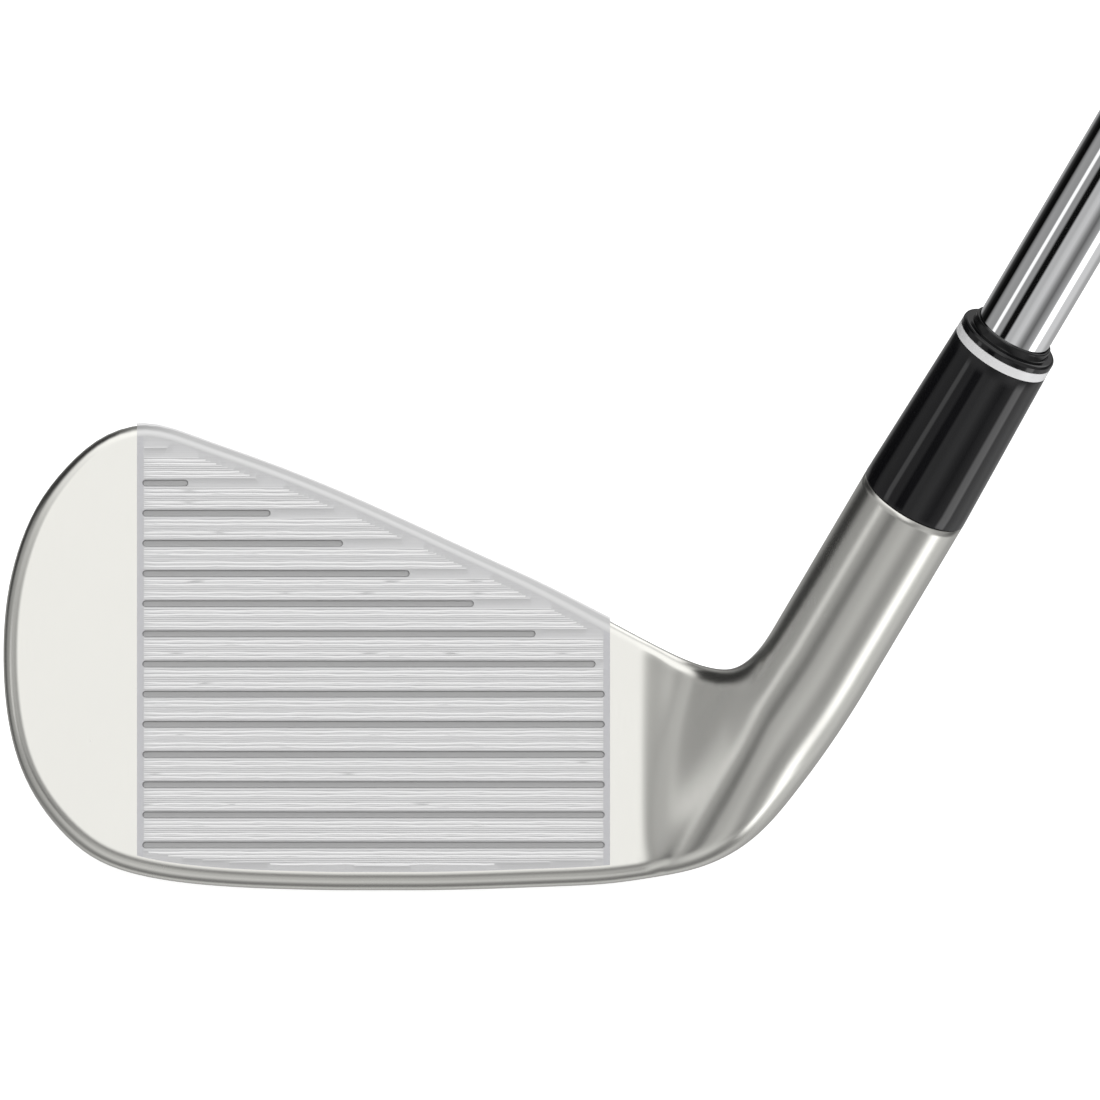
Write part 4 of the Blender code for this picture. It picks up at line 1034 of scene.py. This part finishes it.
def line_paths():
    """(points, shares of the ridge's height) of every polyline of the laser-cut ridges."""
    rng = np.random.default_rng(7)
    columns = np.linspace(-GROOVE_REACH, GROOVE_REACH, 400)
    heights = np.array([top_v(u) for u in columns])
    lows = np.array([branch_v(BLADE_SOLE, u)[0] for u in columns])
    strong = ((-LINE_HALF_WIDTH, 0.0), (-LINE_TOP_HALF_WIDTH, 1.0), (LINE_TOP_HALF_WIDTH, 1.0),
              (LINE_HALF_WIDTH, 0.0))
    fine = ((-FINE_HALF_WIDTH, 0.0), (0.0, 0.8), (FINE_HALF_WIDTH, 0.0))
    rows = [(offset, strong, LINE_STEP) for offset in LINE_OFFSETS]
    rows += [(offset, fine, FINE_STEP) for offset in FINE_OFFSETS]
    paths = []
    for i in range(-1, GROOVE_COUNT + 1):
        for offset, section, spacing in rows:
            v = GROOVE_FIRST_V + i * GROOVE_PITCH + offset
            clear = (heights - v >= LINE_TOP_CLEARANCE) & (v - lows >= LINE_LOW_CLEARANCE)
            if not clear.any():
                continue
            right = min(float(columns[clear].max()), LINE_REACH)
            left = max(float(columns[clear].min()), -LINE_REACH)
            if right - left < SHORTEST_LINE:
                continue
            inner = np.linspace(left + 0.1, right - 0.1, max(int((right - left) / spacing), 4))
            us = np.concatenate(([left], inner, [right]))
            phase = rng.uniform(0.0, 2.0 * math.pi, 3)
            wave = sum(size * np.sin(us * rate + lag)
                       for (size, rate), lag in zip(LINE_WAVES, phase))
            if section is fine:
                wave = 0.5 * wave
            for side, height in section:
                shares = np.full(len(us), height)
                shares[[0, -1]] = 0.0
                paths.append(([(u, v + side + d) for u, d in zip(us, wave)], shares.tolist()))
    return paths


def make_strike_face(outline, material):
    """The blasted slab with real score lines and raised laser-cut ridges."""
    slots = face_slots()
    radius = GROOVE_WIDTH / 2.0
    loops = [[tuple(p) for p in outline]] + [stadium(*slot, radius) for slot in slots]
    points, edges, height = [], [], []
    for loop in loops:
        ids = next_ids(points, loop)
        height += [0.0] * len(loop)
        edges += zip(ids, ids[1:] + ids[:1])
    for path, shares in line_paths():
        ids = next_ids(points, path)
        height += shares
        edges += zip(ids, ids[1:])
    flat, _, triangles, origin, _, _ = delaunay_2d_cdt(
        [Vector(p) for p in points], edges, [], 1, 1e-7, True)
    place = {source: new for new, sources in enumerate(origin) for source in sources}
    share = np.array([max([height[s] for s in sources], default=0.0) for sources in origin])
    vertices = [(p.x, p.y, LINE_HEIGHT * s) for p, s in zip(flat, share)]
    xy = np.array([(p.x, p.y) for p in flat])
    faces = []
    rim_a = np.array(outline)
    run = np.roll(rim_a, -1, axis=0) - rim_a
    above = rim_a[:, 1]
    for tri in triangles:
        u, v = xy[list(tri)].mean(axis=0)
        spans = (above > v) != (np.roll(above, -1) > v)
        hit = rim_a[spans, 0] + (v - above[spans]) * run[spans, 0] / run[spans, 1]
        if np.sum(hit > u) % 2 == 0:
            continue
        inside = any(abs(v - sv) < radius and left - radius < u < right + radius
                     and math.hypot(u - min(max(u, left), right), v - sv) < radius - 1e-4
                     for left, right, sv in slots)
        if not inside:
            faces.append(tuple(tri))
    ridge = list(share)
    for number, slot in enumerate(slots):
        start = sum(len(loop) for loop in loops[:number + 1])
        ring = [place[start + k] for k in range(len(loops[number + 1]))]
        for inset, depth in SLOT_PROFILE:
            lower = next_ids(vertices, [(u, v, depth) for u, v in stadium(*slot, radius - inset)])
            faces += bridge(ring, lower)
            ring = lower
        faces.append(tuple(ring))
    back = next_ids(vertices, [(u, v, -FACE_SLAB) for u, v in outline])
    faces += bridge([place[k] for k in range(len(outline))], back)
    faces.append(tuple(back))
    ridge += [0.0] * (len(vertices) - len(ridge))
    face = add_mesh("strike_face", vertices, faces, material, 12.0)
    store = face.data.attributes.new("ridge", "FLOAT", "POINT")
    store.data.foreach_set("value", ridge)
    return face


# ---------------------------------------------------------------- round pieces
def about_axis(t, radius, angle):
    """The point at a distance along, from and about the shaft's axis."""
    return NECK_BASE + AXIS * t + radius * (math.cos(angle) * FORWARD + math.sin(angle) * ACROSS)


def revolve(name, profile, material, segments=160):
    """Turn a closed profile of (distance along the axis, radius) about the shaft axis."""
    vertices, rings, faces = [], [], []
    turns = np.linspace(0.0, 2.0 * math.pi, segments, endpoint=False)
    for t, radius in profile:
        points = [about_axis(t, radius, a) for a in (turns if radius else turns[:1])]
        rings.append(next_ids(vertices, points))
    for a, b in zip(rings, rings[1:] + rings[:1]):
        if len(a) == len(b) == segments:
            faces += bridge(a, b)
        elif len(b) > 1:
            faces += [(a[0], p, q) for p, q in zip(b, b[1:] + b[:1])]
        elif len(a) > 1:
            faces += [(p, q, b[0]) for p, q in zip(a, a[1:] + a[:1])]
    return add_mesh(name, vertices, faces, material)


def shaft_radius(t):
    """Outer radius of the shaft: taper tip, straight run, then steps up to the butt."""
    if t <= FERRULE_TOP:
        return mix(TIP_RADIUS, FERRULE_EXIT_RADIUS, (t - SHAFT_TIP) / (FERRULE_TOP - SHAFT_TIP))
    if t <= FIRST_STEP:
        share = (t - FERRULE_TOP) / (FIRST_STEP - FERRULE_TOP)
        return mix(FERRULE_EXIT_RADIUS, TIP_PARALLEL_RADIUS, share)
    number = min(int((t - FIRST_STEP) / STEP_PITCH) + 1, STEP_COUNT)
    return mix(TIP_PARALLEL_RADIUS, BUTT_RADIUS, number / STEP_COUNT)


def rounded(start, end, bulge, steps):
    """Quarter-round corner from start to end, both (t, radius), leaving along the first axis."""
    turn = np.linspace(0.0, math.pi / 2.0, steps)
    if bulge:
        return [(mix(start[0], end[0], math.sin(a)), mix(end[1], start[1], math.cos(a)))
                for a in turn]
    return [(mix(end[0], start[0], math.cos(a)), mix(start[1], end[1], math.sin(a)))
            for a in turn]


def make_shaft(material):
    outer = [(SHAFT_TIP, TIP_RADIUS - 0.4), (SHAFT_TIP + 0.4, TIP_RADIUS)]
    outer += [(t, shaft_radius(t)) for t in np.linspace(HOSEL_TOP, FIRST_STEP, 24)]
    for i in range(STEP_COUNT):
        foot = FIRST_STEP + i * STEP_PITCH
        low, high = outer[-1][1], shaft_radius(foot + STEP_RAMP)
        outer += [(foot + STEP_RAMP * s, mix(low, high, smooth(s, 0.0, 1.0)))
                  for s in steps_to(0.0, 1.0, STEP_POINTS)]
        outer += [(foot + STEP_PITCH * s, high) for s in (0.35, 0.7, 1.0)]
    outer[-1] = (SHAFT_BUTT, BUTT_RADIUS)
    last_step = FIRST_STEP + STEP_COUNT * STEP_PITCH
    inner = [(SHAFT_BUTT, BUTT_RADIUS - BUTT_WALL), (last_step, BUTT_RADIUS - BUTT_WALL),
             (FIRST_STEP, TIP_PARALLEL_RADIUS - BUTT_WALL), (SHAFT_TIP, TIP_RADIUS - TIP_WALL)]
    return revolve("chrome_shaft", outer + inner, material)


def make_ferrule(black, white):
    """Barrel, white ring and lipped cap, each with softened corners."""
    barrel_end = FERRULE_BASE + BARREL_LENGTH
    ring_base = barrel_end + FERRULE_GAP
    ring_end = ring_base + RING_LENGTH
    cap_base = ring_end + FERRULE_GAP
    cap_end = cap_base + CAP_LENGTH

    def outer(t):
        return mix(FERRULE_BASE_RADIUS, FERRULE_TOP_RADIUS,
                   (t - FERRULE_BASE) / (cap_end - FERRULE_BASE))

    def inner(t):
        return shaft_radius(t) + BOND_GAP

    def tube(start, end, corner):
        profile = rounded((start, outer(start) - corner), (start + corner, outer(start + corner)),
                          False, 6)
        profile += [(t, outer(t)) for t in np.linspace(start, end, 14)[1:-1]]
        profile += rounded((end - corner, outer(end - corner)), (end, outer(end) - corner),
                           True, 6)
        return profile + [(end, inner(end)), (start, inner(start))]

    barrel = revolve("ferrule_body", tube(FERRULE_BASE, barrel_end, 0.06), black, 192)
    ring = revolve("ferrule_band", tube(ring_base, ring_end, 0.04), white, 192)
    rim = outer(cap_base)
    collar = inner(cap_end) + COLLAR_WALL
    lip = cap_base + LIP_LENGTH
    profile = [(cap_base, rim - 0.03), (cap_base + 0.03, rim)]
    profile += rounded((lip - LIP_ROUND, rim), (lip, rim - LIP_ROUND), True, 12)
    profile += [(lip, rim - 0.44), (lip, collar + 0.18), (lip, collar + 0.14),
                (lip + 0.04, collar + 0.04), (lip + 0.14, collar)]
    profile += rounded((cap_end - COLLAR_ROUND, collar), (cap_end, collar - COLLAR_ROUND),
                       True, 8)
    profile += [(cap_end, inner(cap_end)), (cap_base, inner(cap_base))]
    cap = revolve("ferrule_lip", profile, black, 192)
    return barrel, ring, cap


def grip_radius(t):
    ts = [GRIP_MOUTH + a for a, _ in GRIP_SWELL] + [GRIP_END - GRIP_CAP_LENGTH]
    rs = [GRIP_MOUTH_RADIUS + b for _, b in GRIP_SWELL] + [GRIP_BUTT_RADIUS]
    return float(np.interp(t, ts, rs))


def make_grip(material):
    """Rubber sleeve with rows of raised pads laid like bricks between plain bands."""

    def plain(places):
        return [(t, 0.0, 0.0) for t in places]

    def band(foot):
        return [(foot + d, -b, -b) for d, b in GRIP_BAND]

    start, end = GRIP_MOUTH + PAD_MARGINS[0], GRIP_END - GRIP_CAP_LENGTH - PAD_MARGINS[1]
    count = int((end - start) / PAD_PITCH)
    stop = start + count * PAD_PITCH
    sleeve_end = GRIP_END - GRIP_CAP_LENGTH - 0.1
    lines = plain((GRIP_MOUTH, GRIP_MOUTH + 0.25, GRIP_MOUTH + 0.6))
    lines += plain(np.linspace(GRIP_MOUTH + 2.0, GRIP_MOUTH + 10.0, 4)) + band(GRIP_MOUTH + 11.0)
    for i in range(count):
        shown = 1.0 if i % PLAIN_ROW != PLAIN_ROW - 1 else 0.0
        lines += [(start + i * PAD_PITCH + e, a * shown, b * shown)
                  for e, a, b in zip(PAD_ROWS, PAD_FIRST, PAD_SECOND)]
    lines += band(stop + 1.0) + plain(np.linspace(stop + 3.5, sleeve_end - 0.3, 4))
    turns = [2.0 * math.pi * (c + s) / PAD_COLUMNS for c in range(PAD_COLUMNS) for s in PAD_SPANS]
    vertices, rings, faces = [], [], []
    for t, *pads in lines:
        points = []
        for k, turn in enumerate(turns):
            column, side = divmod(k, len(PAD_SPANS))
            pad = pads[column % 2]
            raised = pad * PAD_ACROSS[side] if pad > 0.0 else pad
            points.append(about_axis(t, grip_radius(t) - PAD_LIFT + PAD_LIFT * raised, turn))
        rings.append(next_ids(vertices, points))
    for t, radius in ((sleeve_end, GRIP_BUTT_RADIUS - 0.5), (sleeve_end, GRIP_BORE),
                      (GRIP_MOUTH, GRIP_BORE)):
        rings.append(next_ids(vertices, [about_axis(t, radius, turn) for turn in turns]))
    for a, b in zip(rings, rings[1:] + rings[:1]):
        faces += bridge(a, b)
    return add_mesh("grip_rubber_sleeve", vertices, faces, material, 28.0)


def make_cap(material):
    """Butt cap with a round edge, two shallow rings in its end and the vent hole."""
    start = GRIP_END - GRIP_CAP_LENGTH
    floor = SHAFT_BUTT + 0.3
    profile = [(start, GRIP_BUTT_RADIUS - 0.35), (start + 0.3, GRIP_BUTT_RADIUS - 0.05),
               (start + 0.6, GRIP_BUTT_RADIUS)]
    profile += rounded((GRIP_END - END_ROUND, GRIP_BUTT_RADIUS),
                       (GRIP_END, GRIP_BUTT_RADIUS - END_ROUND), True, 12)
    for radius in END_RINGS:
        profile += [(GRIP_END + t, radius + side) for side, t in END_RING_PROFILE]
    profile += [(GRIP_END, VENT_RADIUS + 0.25), (GRIP_END - 0.2, VENT_RADIUS),
                (floor, VENT_RADIUS), (floor, GRIP_BORE), (start, GRIP_BORE)]
    return revolve("grip_end_cap", profile, material, 128)


# ---------------------------------------------------------------- pieces in the cavity
def offset_outline(outline, inset):
    """A closed outline moved inwards by inset, by mitred corners."""
    pts = np.array(outline)
    area = 0.5 * np.sum(pts[:, 0] * np.roll(pts[:, 1], -1) - np.roll(pts[:, 0], -1) * pts[:, 1])
    sign = 1.0 if area > 0.0 else -1.0
    before, after = np.roll(pts, 1, axis=0), np.roll(pts, -1, axis=0)
    d1 = (pts - before) / np.linalg.norm(pts - before, axis=1)[:, None]
    d2 = (after - pts) / np.linalg.norm(after - pts, axis=1)[:, None]
    n1 = np.column_stack((-d1[:, 1], d1[:, 0])) * sign
    n2 = np.column_stack((-d2[:, 1], d2[:, 0])) * sign
    middle = n1 + n2
    middle /= np.linalg.norm(middle, axis=1)[:, None]
    share = np.sum(middle * n1, axis=1)
    return pts + middle * (inset / share)[:, None]


def layered(name, outline, layers, material):
    """A plate from stacked insets of one outline: layers are (inset, depth behind the face)."""
    vertices, rings, faces = [], [], []
    for inset, depth in layers:
        pts = offset_outline(outline, inset) if inset else outline
        rings.append(next_ids(vertices, [(u, v, -depth) for u, v in pts]))
    for a, b in zip(rings[:-1], rings[1:]):
        faces += bridge(a, b)
    faces += [tuple(rings[0]), tuple(rings[-1])]
    return add_mesh(name, vertices, faces, material)


def badge_outline():
    """Level bottom, top parallel to the topline and a round toe end, sampled finely."""
    left, right = BADGE_U
    low = BADGE_V
    top = [(u, top_v(u) - BADGE_TOP_DROP) for u in np.linspace(right, BADGE_TOE_U, 14)]
    high = top[-1][1]
    toe = [(left + 4.6, high - 2.0), (left + 1.2, high - 6.0)]
    foot = [(left, low + 7.5), (left + 2.2, low + 3.0), (left + 6.5, low)]
    heel = [(right - 2.0, low), (right - 0.5, low + 0.6), (right, low + 2.2)]
    return top + toe + foot + heel


def make_badge(material):
    """Badge with a chamfered edge, a sunk field and three raised ribs."""
    outer, inner = BADGE_PLATE
    layers = [(0.0, outer), (0.0, inner - 0.3), (0.3, inner), (1.3, inner), (1.6, inner - 0.35)]
    badge = layered("badge_plate", badge_outline(), layers, material)
    ribs = []
    for v, right in RIBS:
        corners = [(RIB_LEFT, v), (right, v), (right - 0.6, v + RIB_WIDTH),
                   (RIB_LEFT, v + RIB_WIDTH)]
        ribs.append(layered("rib", corners,
                            [(0.0, inner - 0.4), (0.0, inner - 0.15), (0.2, inner)], material))
    combine(badge, ribs, "UNION", 35.0)
    return badge


def round_outline(u, v, radius, steps=72):
    return [(u + radius * math.cos(a), v + radius * math.sin(a))
            for a in np.linspace(0.0, 2.0 * math.pi, steps, endpoint=False)]


# ---------------------------------------------------------------- studio
def ramp(tree, value, stops):
    """A colour ramp used as a curve: stops are (place in 0 to 1, value)."""
    made = put(tree, "ShaderNodeValToRGB", {0: value})
    elements = made.color_ramp.elements
    for place, level in stops[2:]:
        elements.new(place)
    for element, (place, level) in zip(elements, sorted(stops)):
        element.position = place
        element.color = (level, level, level, 1.0)
    return made.outputs[0]


# Light by the angle about the shaft in degrees: strips and flags that run along it. They fill
# the cone of directions that a ray square to the face takes after it meets the shaft.
CONE_EDGE = (0.05, 0.15)
STRIP_LIGHT = (
    (-180, 1.0), (-168, 1.0), (-155, 0.30), (-143, 0.12), (-133, 0.01), (-99, 0.002), (-91, 0.25),
    (-83, 0.33), (-60, 0.285), (-57.4, 1.15), (-50, 1.15), (-47, 0.30), (-33, 0.31), (-27, 0.006),
    (-13, 0.003), (-8, 0.48), (4, 0.46), (12, 0.57), (21, 0.60), (28, 0.45), (36, 0.26),
    (46, 0.13), (54, 0.25), (62, 0.32), (69, 0.38), (75, 2.0), (90, 2.0), (95, 0.66),
    (132, 0.64), (150, 0.38), (165, 0.9), (180, 1.0),
)
# Light by the angle from the direction that the face looks in, upwards, sideways and downwards.
UP_LIGHT = ((0, 1.12), (18, 1.2), (54, 1.2), (66, 0.95), (78, 0.66), (92, 0.36), (108, 0.21),
            (129, 0.14), (150, 0.3), (165, 1.0), (180, 1.0))
SIDE_LIGHT = ((0, 1.12), (9, 1.12), (15, 0.70), (22, 0.37), (30, 0.30), (37, 0.46), (45, 0.46),
              (60, 0.50), (70, 0.34), (80, 0.38), (97, 0.33), (109, 0.10), (125, 0.05), (140, 0.2),
              (155, 0.8), (168, 1.0), (180, 1.0))
DOWN_LIGHT = ((0, 1.12), (11, 1.12), (17, 0.55), (24, 0.18), (31, 0.2), (40, 0.4), (50, 0.5),
              (60, 0.68), (68, 0.72), (76, 0.55), (83, 0.3), (98, 0.15), (108, 0.22), (118, 0.6),
              (134, 0.85), (150, 1.0), (180, 1.0))
HIGH_SLANT = (0.1, 0.7)
LOW_SLANT = (0.1, 0.85)
# A dark flag up on the toe side, as edges in the shares of the ray along W, in its slant and in
# its share along U.
FLAG_W = ((0.45, 0.12), (-0.85, -0.6))
FLAG_SLANT = ((0.2, 0.38), (0.93, 0.72))
FLAG_U = (-0.15, -0.35)
FLAG_LEVEL = 0.02
# A bright patch behind the heel side, by the ray's shares along X, Y and Z.
PATCH_EDGES = ((0.14, 0.32), (0.1, 0.3), (0.08, 0.2))
PATCH_LEVEL = 1.3
REAR_EDGE = (-0.5, -0.78)
# Light behind the club by the sine of the elevation, as shares of the way from floor to zenith.
REAR_LIGHT = ((0.0, 0.42), (0.42, 0.36), (0.475, 0.05), (0.53, 0.05), (0.58, 0.30), (0.70, 0.42),
              (0.78, 1.1), (1.0, 1.1))


def over_turn(stops, low, high):
    return [((angle - low) / (high - low), level) for angle, level in stops]


def make_world():
    """Studio light as a function of direction: white front and top, soft strips and dark flags."""
    world = bpy.data.worlds.new("studio")
    bpy.context.scene.world = world
    world.use_nodes = True
    tree = world.node_tree
    tree.nodes.clear()
    ray = put(tree, "ShaderNodeTexCoord").outputs["Generated"]
    length, across, forward = (along(tree, ray, turned(d)) for d in (AXIS, ACROSS, FORWARD))
    p, q, r = (along(tree, ray, turned(d)) for d in np.eye(3))
    about = calc(tree, "ARCTAN2", across, forward)
    about = calc(tree, "MULTIPLY_ADD", about, 0.5 / math.pi, 0.5)
    strips = ramp(tree, about, over_turn(STRIP_LIGHT, -180.0, 180.0))
    turn = calc(tree, "MULTIPLY", calc(tree, "ARCCOSINE", r), 1.0 / math.pi)
    up, side, down = (ramp(tree, turn, over_turn(light, 0.0, 180.0))
                      for light in (UP_LIGHT, SIDE_LIGHT, DOWN_LIGHT))
    slant = calc(tree, "ARCTAN2", q, calc(tree, "ABSOLUTE", p))
    slant = calc(tree, "MULTIPLY", slant, 2.0 / math.pi)
    high = step(tree, slant, *HIGH_SLANT)
    low = step(tree, calc(tree, "MULTIPLY", slant, -1.0), *LOW_SLANT)
    dome = blend(tree, low, blend(tree, high, side, up), down)
    flag = product(tree, *(step(tree, r, *edge) for edge in FLAG_W),
                   *(step(tree, slant, *edge) for edge in FLAG_SLANT), step(tree, p, *FLAG_U))
    dome = blend(tree, flag, dome, FLAG_LEVEL)
    near = calc(tree, "ABSOLUTE", calc(tree, "SUBTRACT", length, -float(AXIS[2])))
    cone = calc(tree, "SUBTRACT", 1.0, step(tree, near, *CONE_EDGE))
    level = blend(tree, cone, dome, strips)
    place = put(tree, "ShaderNodeSeparateXYZ", {0: ray}).outputs
    patch = product(tree, *(step(tree, part, *edge) for part, edge in zip(place, PATCH_EDGES)),
                    PATCH_LEVEL)
    level = calc(tree, "MAXIMUM", level, patch)
    rear = ramp(tree, calc(tree, "MULTIPLY_ADD", place[2], 0.5, 0.5), REAR_LIGHT)
    level = blend(tree, step(tree, r, *REAR_EDGE), level, rear)
    lit = put(tree, "ShaderNodeBackground", {"Color": level}).outputs[0]
    plain = put(tree, "ShaderNodeBackground", {"Color": (1.0, 1.0, 1.0)}).outputs[0]
    seen = put(tree, "ShaderNodeLightPath").outputs["Is Camera Ray"]
    both = put(tree, "ShaderNodeMixShader", {0: seen, 1: lit, 2: plain}).outputs[0]
    put(tree, "ShaderNodeOutputWorld", {"Surface": both})


def make_floor():
    """Pale floor that takes a faint shadow and stays out of the metal's reflections."""
    size = 60.0
    mesh = bpy.data.meshes.new("floor")
    mesh.from_pydata([(-size, -size, 0.0), (size, -size, 0.0), (size, size, 0.0),
                      (-size, size, 0.0)], [], [(0, 1, 2, 3)])
    floor = bpy.data.objects.new("floor", mesh)
    bpy.context.scene.collection.objects.link(floor)
    material, tree, shader = new_material("floor_paint", 0.9)
    speck = noise(tree, put(tree, "ShaderNodeTexCoord").outputs["Object"], 40.0, 2.0)
    tree.links.new(tint(tree, speck, (0.80, 0.80, 0.80), (0.82, 0.82, 0.82)),
                   shader.inputs["Base Color"])
    shader.inputs["Specular IOR Level"].default_value = 0.0
    shader.inputs["Emission Color"].default_value = (1.0, 1.0, 1.0, 1.0)
    shader.inputs["Emission Strength"].default_value = 0.8
    mesh.materials.append(material)
    floor.visible_glossy = False


VIEW_CENTRE = (21.44, 39.80, 0.0)
VIEW_DISTANCE = 5500.0
VIEW_WIDTH = 133.65
SENSOR = 36.0


def make_camera():
    """Camera square to the face, far enough for an almost parallel view."""
    data = bpy.data.cameras.new("camera")
    data.sensor_width = SENSOR
    data.lens = SENSOR * VIEW_DISTANCE / VIEW_WIDTH
    data.clip_start = 0.01
    data.clip_end = 500.0
    camera = bpy.data.objects.new("camera", data)
    bpy.context.scene.collection.objects.link(camera)
    across, upward = turned((1.0, 0.0, 0.0)), turned((0.0, 1.0, 0.0))
    spot = to_world(np.array(VIEW_CENTRE) + np.array((0.0, 0.0, VIEW_DISTANCE)))
    turn = Matrix((across, upward, FACE_NORMAL)).transposed().to_4x4()
    camera.matrix_world = Matrix.Translation(Vector(spot)) @ turn
    bpy.context.scene.camera = camera


# ---------------------------------------------------------------- build
def carry(node, material):
    """Give a CAD node that stays in the model its own finish."""
    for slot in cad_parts[node].material_slots:
        slot.material = material


def stand_in(piece, node):
    """Show a finished piece in place of a CAD node."""
    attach(piece, "root")
    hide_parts(node)


def build():
    head, outline = make_head(satin_steel())
    stand_in(head, "head_body")
    stand_in(make_strike_face(outline, milled_steel()), "face_plate")

    sintered = brushed_metal("sintered_tungsten", (0.20, 0.20, 0.21), (0.34, 0.34, 0.35), 0.42,
                             (1.0, 1.0, 1.0))
    seat, mouth = WEIGHT_DEPTHS
    slug = layered("toe_weight_slug", round_outline(WEIGHT_U, WEIGHT_V, WEIGHT_RADIUS),
                   [(0.0, seat), (0.0, mouth - 0.3), (0.1, mouth - 0.1), (0.3, mouth)], sintered)
    stand_in(slug, "toe_weight")
    badge_metal = brushed_metal("brushed_badge", (0.36, 0.36, 0.37), (0.52, 0.52, 0.53), 0.32)
    stand_in(make_badge(badge_metal), "cavity_badge")
    carry("badge_tape", moulded_rubber("tape_foam", (0.02, 0.02, 0.02), (0.05, 0.05, 0.05), 0.85))
    carry("cavity_damper", moulded_rubber("damper_rubber", (0.015, 0.015, 0.016),
                                          (0.03, 0.03, 0.032), 0.6))

    black = gloss_plastic("ferrule_black_gloss", (0.004, 0.004, 0.0045), (0.008, 0.008, 0.009),
                          0.03)
    white = gloss_plastic("ferrule_white_gloss", (0.66, 0.66, 0.665), (0.71, 0.71, 0.715), 0.2)
    barrel, ring, cap = make_ferrule(black, white)
    stand_in(barrel, "ferrule_barrel")
    stand_in(ring, "ferrule_ring")
    stand_in(cap, "ferrule_cap")

    stand_in(make_shaft(chrome_plate()), "shaft_tube")
    carry("shaft_epoxy", moulded_rubber("cured_epoxy", (0.42, 0.36, 0.22), (0.5, 0.43, 0.27), 0.4))
    carry("tip_plug", brushed_metal("turned_brass", (0.50, 0.36, 0.15), (0.62, 0.47, 0.22), 0.35))
    start = FIRST_STEP + LABEL_STEP * STEP_PITCH + LABEL_MARGIN
    end = start + STEP_PITCH - 2.0 * LABEL_MARGIN
    inner = shaft_radius(start) + BOND_GAP
    outer = inner + LABEL_FILM
    label = revolve("shaft_band", [(start, inner), (start, inner + 0.1), (start + 0.08, outer),
                                   (end - 0.08, outer), (end, inner + 0.1), (end, inner)],
                    label_film())
    stand_in(label, "shaft_label")

    rubber = moulded_rubber("grip_compound", (0.012, 0.012, 0.0125), (0.022, 0.022, 0.023), 0.62)
    stand_in(make_grip(rubber), "grip_sleeve")
    cap_rubber = moulded_rubber("cap_compound", (0.015, 0.015, 0.016), (0.026, 0.026, 0.027), 0.5)
    stand_in(make_cap(cap_rubber), "grip_cap")
    carry("grip_tape", moulded_rubber("paper_tape", (0.60, 0.55, 0.42), (0.70, 0.65, 0.52), 0.8))

    make_floor()
    make_world()
    make_camera()
    bpy.context.scene.view_settings.view_transform = "Standard"
    bpy.context.scene.view_settings.look = "None"


build()
